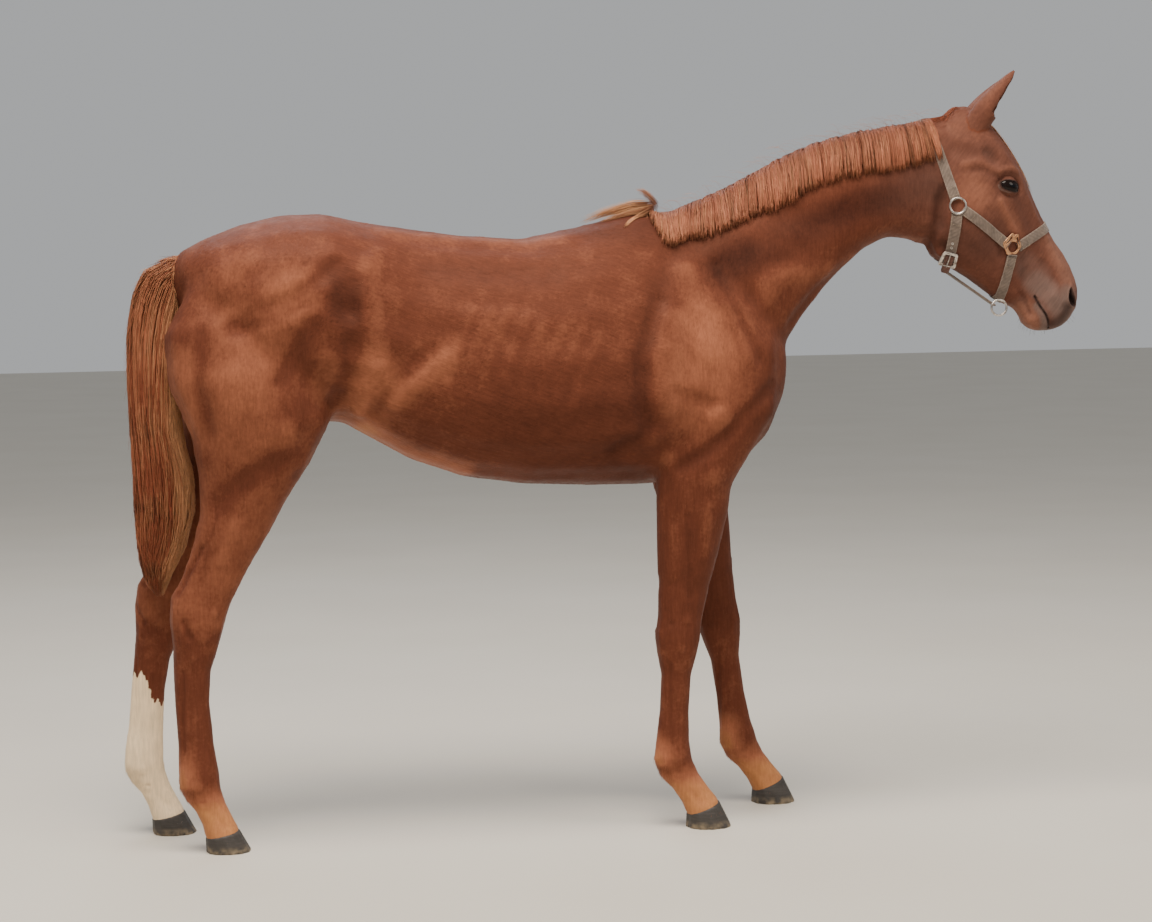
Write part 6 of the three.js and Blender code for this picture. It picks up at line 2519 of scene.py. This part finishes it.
class HORSE_OT_halter(bpy.types.Operator):
    """Makes the halter: woven straps laid over the head, rings, nose pieces and the buckle"""

    bl_idname = "horse.halter"
    bl_label = "Halter"

    def execute(self, context):
        tack = context.scene.horse_tack
        self.tree = skin_tree()
        self.tack = tack
        self.webbing = webbing_material(tack, "faded_woven_webbing", tack.webbing)
        self.strap_end = webbing_material(tack, "red_brown_strap_end", tack.strap_end)
        self.steel = metal_material("worn_plated_steel", tack.steel, 0.25, linear("7a6f69"))
        self.brass = metal_material("worn_rose_brass", tack.brass, 0.3, linear("7a5040"))
        self.thread = thread_material()
        self.stitches = []
        rings, pieces = {}, {}
        for name in SIDES:
            rings[name] = seat(self.tree, f"halter_ring_upper_{name}", RING_RADIUS, RING_WIRE + 2.5)
            pieces[name] = seat(self.tree, f"halter_ring_nose_{name}", RING_RADIUS, 5.0)
        self.loop("crown_strap", UPPER_RING, POLL, ["halter_crown"], RING_RADIUS)
        throat = self.loop("throat_strap", UPPER_RING, THROAT, ["halter_throat"], RING_RADIUS)
        self.loop("noseband", NOSE_RING, NOSE, ["halter_nose"], HELD_NOSEBAND)
        self.loop("chin_band", NOSE_RING, CHIN, ["halter_chin"], HELD_CHIN)
        for name, side in SIDES.items():
            self.cheek(name, side)
            mesh = placed(ring_solid(RING_RADIUS, RING_WIRE), rings[name], f"upper_ring_{name}")
            add_object(f"upper_ring_{name}", mesh, self.steel, [f"halter_ring_upper_{name}"])
            self.nose_piece(name, pieces[name])
        self.jaw_strap()
        self.chin_ring()
        self.buckle(throat)
        self.sew()
        return {"FINISHED"}

    def loop(self, name, start, over, nodes, held):
        """A strap in the plane through two places and the horse's width, from side to side."""
        tack = self.tack
        start, over = spot("head", *start), spot("head", *over)
        up = unit(over - start)
        cross = np.array([-up[1], up[0]])
        steps = 64
        wide = tack.strap / 2
        turn = np.linspace(0, math.pi, steps)
        across = np.linspace(-1, 1, COLUMNS) * wide
        starts = np.zeros((steps, COLUMNS, 3))
        starts[:, :, 0] = start[0] + cross[0] * across
        starts[:, :, 2] = start[1] + cross[1] * across
        ways = np.zeros((steps, COLUMNS, 3))
        ways[:, :, 0] = (up[0] * np.sin(turn))[:, None]
        ways[:, :, 1] = -np.cos(turn)[:, None]
        ways[:, :, 2] = (up[1] * np.sin(turn))[:, None]
        lift = np.full(steps, SLACK * MM + tack.strap_thick)
        face = lay_strap(self.tree, starts, ways, turn[1], lift)
        return self.strap(name, face, nodes, held, held)

    def cheek(self, name, side):
        """The strap from the upper ring to the nose piece, on one cheek."""
        start, end = spot("head", *UPPER_RING), spot("head", *NOSE_RING)
        along = unit(end - start)
        cross = np.array([-along[1], along[0]])
        steps = 30
        share_of = np.linspace(0, 1, steps)
        across = np.linspace(-1, 1, COLUMNS) * self.tack.strap / 2
        starts = np.zeros((steps, COLUMNS, 3))
        for k, axis in enumerate((0, 2)):
            starts[:, :, axis] = (start[k] + (end - start)[k] * share_of)[:, None] + cross[k] * across
        ways = np.zeros((steps, COLUMNS, 3))
        ways[:, :, 1] = side
        lift = np.full(steps, SLACK * MM + self.tack.strap_thick)
        face = lay_strap(self.tree, starts, ways, 0.0, lift)
        self.strap(f"cheek_strap_{name}", face, [f"halter_cheek_{name}"], RING_RADIUS, HELD_CHEEK)

    def strap(self, name, face, nodes, held_start, held_end):
        """Cuts a strap's face to run from ring to ring, lifts its sewn ends and makes its mesh."""
        tack = self.tack
        middle = face[:, CENTRE]
        along = np.append(0, np.cumsum(np.linalg.norm(np.diff(middle, axis=0), axis=1)))
        whole = along[-1]
        start, end = held_start * MM, whole - held_end * MM
        steps = int((end - start) / (6 * MM)) + 2
        wanted = np.linspace(start, end, steps)
        out = unit(np.cross(np.gradient(face, axis=0), np.gradient(face, axis=1)))
        if (out * (face - face.reshape(-1, 3).mean(0) * [1, 0, 1])).sum() < 0:
            out = -out
        ends = 1 - fade(np.minimum(wanted - start, end - wanted), (LAP - 3) * MM, (LAP + 3) * MM)
        lifted = np.zeros((steps, COLUMNS, 3))
        outs = np.zeros_like(lifted)
        for j in range(COLUMNS):
            for axis in range(3):
                lifted[:, j, axis] = np.interp(wanted, along, face[:, j, axis])
                outs[:, j, axis] = np.interp(wanted, along, out[:, j, axis])
        outs = unit(outs)
        lifted += outs * (ends * tack.strap_thick)[:, None, None]
        mesh = strap_mesh(name, lifted, tack.strap_thick, tack.strap)
        add_object(name, mesh, self.webbing, nodes)
        rows = [8 * MM, (LAP - 4) * MM]
        for from_ring in rows:
            for place in (start + from_ring, end - from_ring):
                across = np.linspace(-SEAM_ENDS, SEAM_ENDS, 6)
                self.seam(lifted, outs, wanted, [place] * 6, across)
        for begin in (start, end - LAP * MM):
            places = np.linspace(begin + 9 * MM, begin + (LAP - 6) * MM, 5)
            for edge in (-STITCH_EDGE, STITCH_EDGE):
                self.seam(lifted, outs, wanted, places, [edge] * 5)
        for begin, way in ((start, 1), (end, -1)):
            self.lap(f"{name}_lap_{'start' if way > 0 else 'end'}", lifted, outs, wanted, begin, way)
        return lifted, outs, wanted

    def lap(self, name, face, outs, wanted, begin, way):
        """The end of a strap, folded round its ring and back under the strap."""
        tack = self.tack
        thick = tack.strap_thick
        roll = RING_WIRE * MM + 0.2 * MM
        heights, places = [], []
        for angle in np.linspace(0, math.pi, 7):
            places.append(begin - way * roll * math.sin(angle))
            heights.append(-thick / 2 - roll + (roll + thick / 2) * math.cos(angle) + thick / 2)
        for reach in np.linspace(3, LAP, 6):
            places.append(begin + way * reach * MM)
            heights.append(-1.02 * thick - (thick * 0.9) * (1 - fade(reach, 0, 9)))
        rows = []
        tangent = unit(np.gradient(face, axis=0)) * way
        for place, height in zip(places, heights):
            inside = np.clip(place, wanted[0], wanted[-1])
            row = []
            for j in range(COLUMNS):
                point = [np.interp(inside, wanted, face[:, j, axis]) for axis in range(3)]
                normal = [np.interp(inside, wanted, outs[:, j, axis]) for axis in range(3)]
                end = tangent[0 if way > 0 else -1, j]
                past = (place - inside) * way
                row.append(np.array(point) + end * past + np.array(normal) * height)
            rows.append(row)
        mesh = strap_mesh(name, np.array(rows), 0.7 * thick, tack.strap)
        add_object(name, mesh, self.webbing)

    def seam(self, face, outs, wanted, places, across):
        """Notes one row of stitches by places along and across a strap."""
        columns = np.linspace(-1, 1, COLUMNS)
        for place, t in zip(places, across):
            along = [np.interp(place, wanted, np.arange(len(wanted)))]
            i = int(along[0])
            i = min(max(i, 0), len(wanted) - 2)
            part = along[0] - i
            row = face[i] * (1 - part) + face[i + 1] * part
            point = np.array([np.interp(t, columns, row[:, axis]) for axis in range(3)])
            normal = outs[i, CENTRE]
            down = unit(face[i + 1, CENTRE] - face[i, CENTRE])
            side = unit(row[-1] - row[0])
            run = side if places[0] == places[-1] else down
            self.stitches.append((point, normal, run))

    def sew(self):
        """Makes all the stitches as one piece."""
        bm = bmesh.new()
        for point, normal, run in self.stitches:
            turn = Matrix((run, np.cross(normal, run), normal)).transposed().to_4x4()
            size = Matrix.Diagonal((*(half * MM for half in STITCH), 1))
            bmesh.ops.create_icosphere(
                bm, subdivisions=1, radius=1, matrix=Matrix.Translation(point) @ turn @ size
            )
        mesh = finished(bm, "halter_stitches")
        add_object("halter_stitches", mesh, self.thread)

    def nose_piece(self, name, facing):
        """The cast fitting that joins the cheek strap, the noseband and the chin band."""
        outlines = [rounded(NOSE_PIECE, 4), circle(NOSE_HOLE), *(rounded(s, 1.5) for s in NOSE_SLOTS)]
        bm = outline_solid("nose_piece", outlines, NOSE_THICK, 1.0)
        if facing.forward[0] < 0:
            facing.forward = -facing.forward
        mesh = placed(bm, facing, f"nose_piece_{name}")
        add_object(f"nose_piece_{name}", mesh, self.brass, [f"halter_ring_nose_{name}"])

    def jaw_strap(self):
        """The strap under the jaw, from the throat strap to the chin ring."""
        bm = node_copy("halter_jaw")
        bmesh.ops.subdivide_edges(bm, edges=bm.edges, cuts=1)
        mesh = finished(bm, "jaw_strap")
        points = points_of(mesh)
        store(mesh, "weave_along", points[:, 0])
        store(mesh, "weave_across", points[:, 1])
        add_object("jaw_strap", mesh, self.webbing, ["halter_jaw"])

    def chin_ring(self):
        """The ring under the chin, where the chin band and the jaw strap meet."""
        points = np.array([v.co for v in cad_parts["halter_ring_chin"].data.vertices])
        middle = (points.max(0) + points.min(0)) / 2
        facing = Facing(middle, (0, -1, 0), 0)
        mesh = placed(ring_solid(RING_RADIUS, RING_WIRE), facing, "chin_ring")
        add_object("chin_ring", mesh, self.steel, ["halter_ring_chin"])

    def buckle(self, throat):
        """The roller buckle on the throat strap, its prong, eyelets and loose strap end."""
        face, outs, wanted = throat
        lengths = wanted - wanted[0]
        i = int(np.argmin(np.abs(lengths - (BUCKLE_DOWN - RING_RADIUS) * MM)))
        place = face[i, CENTRE] + outs[i, CENTRE] * BUCKLE_LIFT * MM
        down = unit(face[i + 1, CENTRE] - face[i - 1, CENTRE])
        facing = Facing(place, outs[i, CENTRE], 0)
        facing.up = -down
        facing.forward = unit(np.cross(facing.up, facing.out))
        outlines = [rounded(BUCKLE_OUTER, 7), rounded(BUCKLE_INNER, 3)]
        bm = outline_solid("buckle", outlines, BUCKLE_THICK, 1.2)
        radius, length_of, along = (size * MM for size in ROLLER)
        turned = Matrix.Translation((0, along, 0)) @ Matrix.Rotation(math.pi / 2, 4, "Y")
        rod = {"cap_ends": True, "segments": 20, "radius1": radius, "radius2": radius}
        bmesh.ops.create_cone(bm, depth=length_of, matrix=turned, **rod)
        tip, root, length_of = (size * MM for size in PRONG)
        turned = Matrix.Translation((0, -1 * MM, 3.0 * MM)) @ Matrix.Rotation(math.pi / 2, 4, "X")
        rod = {"cap_ends": True, "segments": 12, "radius1": tip, "radius2": root}
        bmesh.ops.create_cone(bm, depth=length_of, matrix=turned, **rod)
        mesh = placed(bm, facing, "buckle")
        add_object("buckle", mesh, self.steel, ["halter_buckle"])
        self.eyelets(face, outs, wanted, i)
        self.tongue(facing)

    def eyelets(self, face, outs, wanted, buckle_row):
        """Small metal eyelets in the strap, above the buckle."""
        for k, back in enumerate(EYELETS):
            i = int(np.argmin(np.abs(wanted - (wanted[buckle_row] - back * MM))))
            point = face[i, CENTRE] + outs[i, CENTRE] * 0.3 * MM
            facing = Facing(point, outs[i, CENTRE], 0)
            mesh = placed(ring_solid(2.6, 0.9), facing, f"eyelet_{k + 1}")
            add_object(f"eyelet_{k + 1}", mesh, self.steel)

    def tongue(self, facing):
        """The darker strap end that passes under the buckle and hangs below it."""
        rows = []
        for y in np.linspace(*TONGUE, 12):
            narrow = TONGUE_HALF * (1 - 0.35 * fade(y, TONGUE[1] + 8, TONGUE[1]))
            out = 1.5 + 1.2 * fade(y, TONGUE[0], -5)
            rows.append([(t * narrow * MM, y * MM, out * MM) for t in np.linspace(-1, 1, COLUMNS)])
        face = facing.world(np.array(rows).reshape(-1, 3)).reshape(len(rows), COLUMNS, 3)
        mesh = strap_mesh("strap_end", face, 2.0 * MM, 2 * TONGUE_HALF * MM)
        add_object("strap_end", mesh, self.strap_end)


OPERATORS = (
    HORSE_OT_stage,
    HORSE_OT_skin,
    HORSE_OT_eyes,
    HORSE_OT_hooves,
    HORSE_OT_mane,
    HORSE_OT_tail,
    HORSE_OT_forelock,
    HORSE_OT_coat,
    HORSE_OT_halter,
)


class HORSE_PT_panel(bpy.types.Panel):
    """Lists the sizes and colours, and the operators that make the pieces"""

    bl_idname = "HORSE_PT_panel"
    bl_label = "Chestnut horse"
    bl_space_type = "VIEW_3D"
    bl_region_type = "UI"
    bl_category = "Horse"

    def draw(self, context):
        scene = context.scene
        for settings in (scene.horse_coat, scene.horse_hair, scene.horse_tack):
            box = self.layout.box()
            for prop in settings.bl_rna.properties:
                if not prop.is_readonly and prop.identifier != "name":
                    box.prop(settings, prop.identifier)
        for operator in OPERATORS:
            self.layout.operator(operator.bl_idname)


SETTINGS = {"horse_coat": CoatSettings, "horse_hair": HairSettings, "horse_tack": TackSettings}


def register():
    for cls in (*SETTINGS.values(), *OPERATORS, HORSE_PT_panel):
        bpy.utils.register_class(cls)
    for name, cls in SETTINGS.items():
        setattr(bpy.types.Scene, name, bpy.props.PointerProperty(type=cls))


def unregister():
    for name in SETTINGS:
        delattr(bpy.types.Scene, name)
    for cls in (HORSE_PT_panel, *reversed(OPERATORS), *SETTINGS.values()):
        bpy.utils.unregister_class(cls)


def main():
    register()
    for operator in OPERATORS:
        group, name = operator.bl_idname.split(".")
        getattr(getattr(bpy.ops, group), name)()


if __name__ == "__main__":
    main()
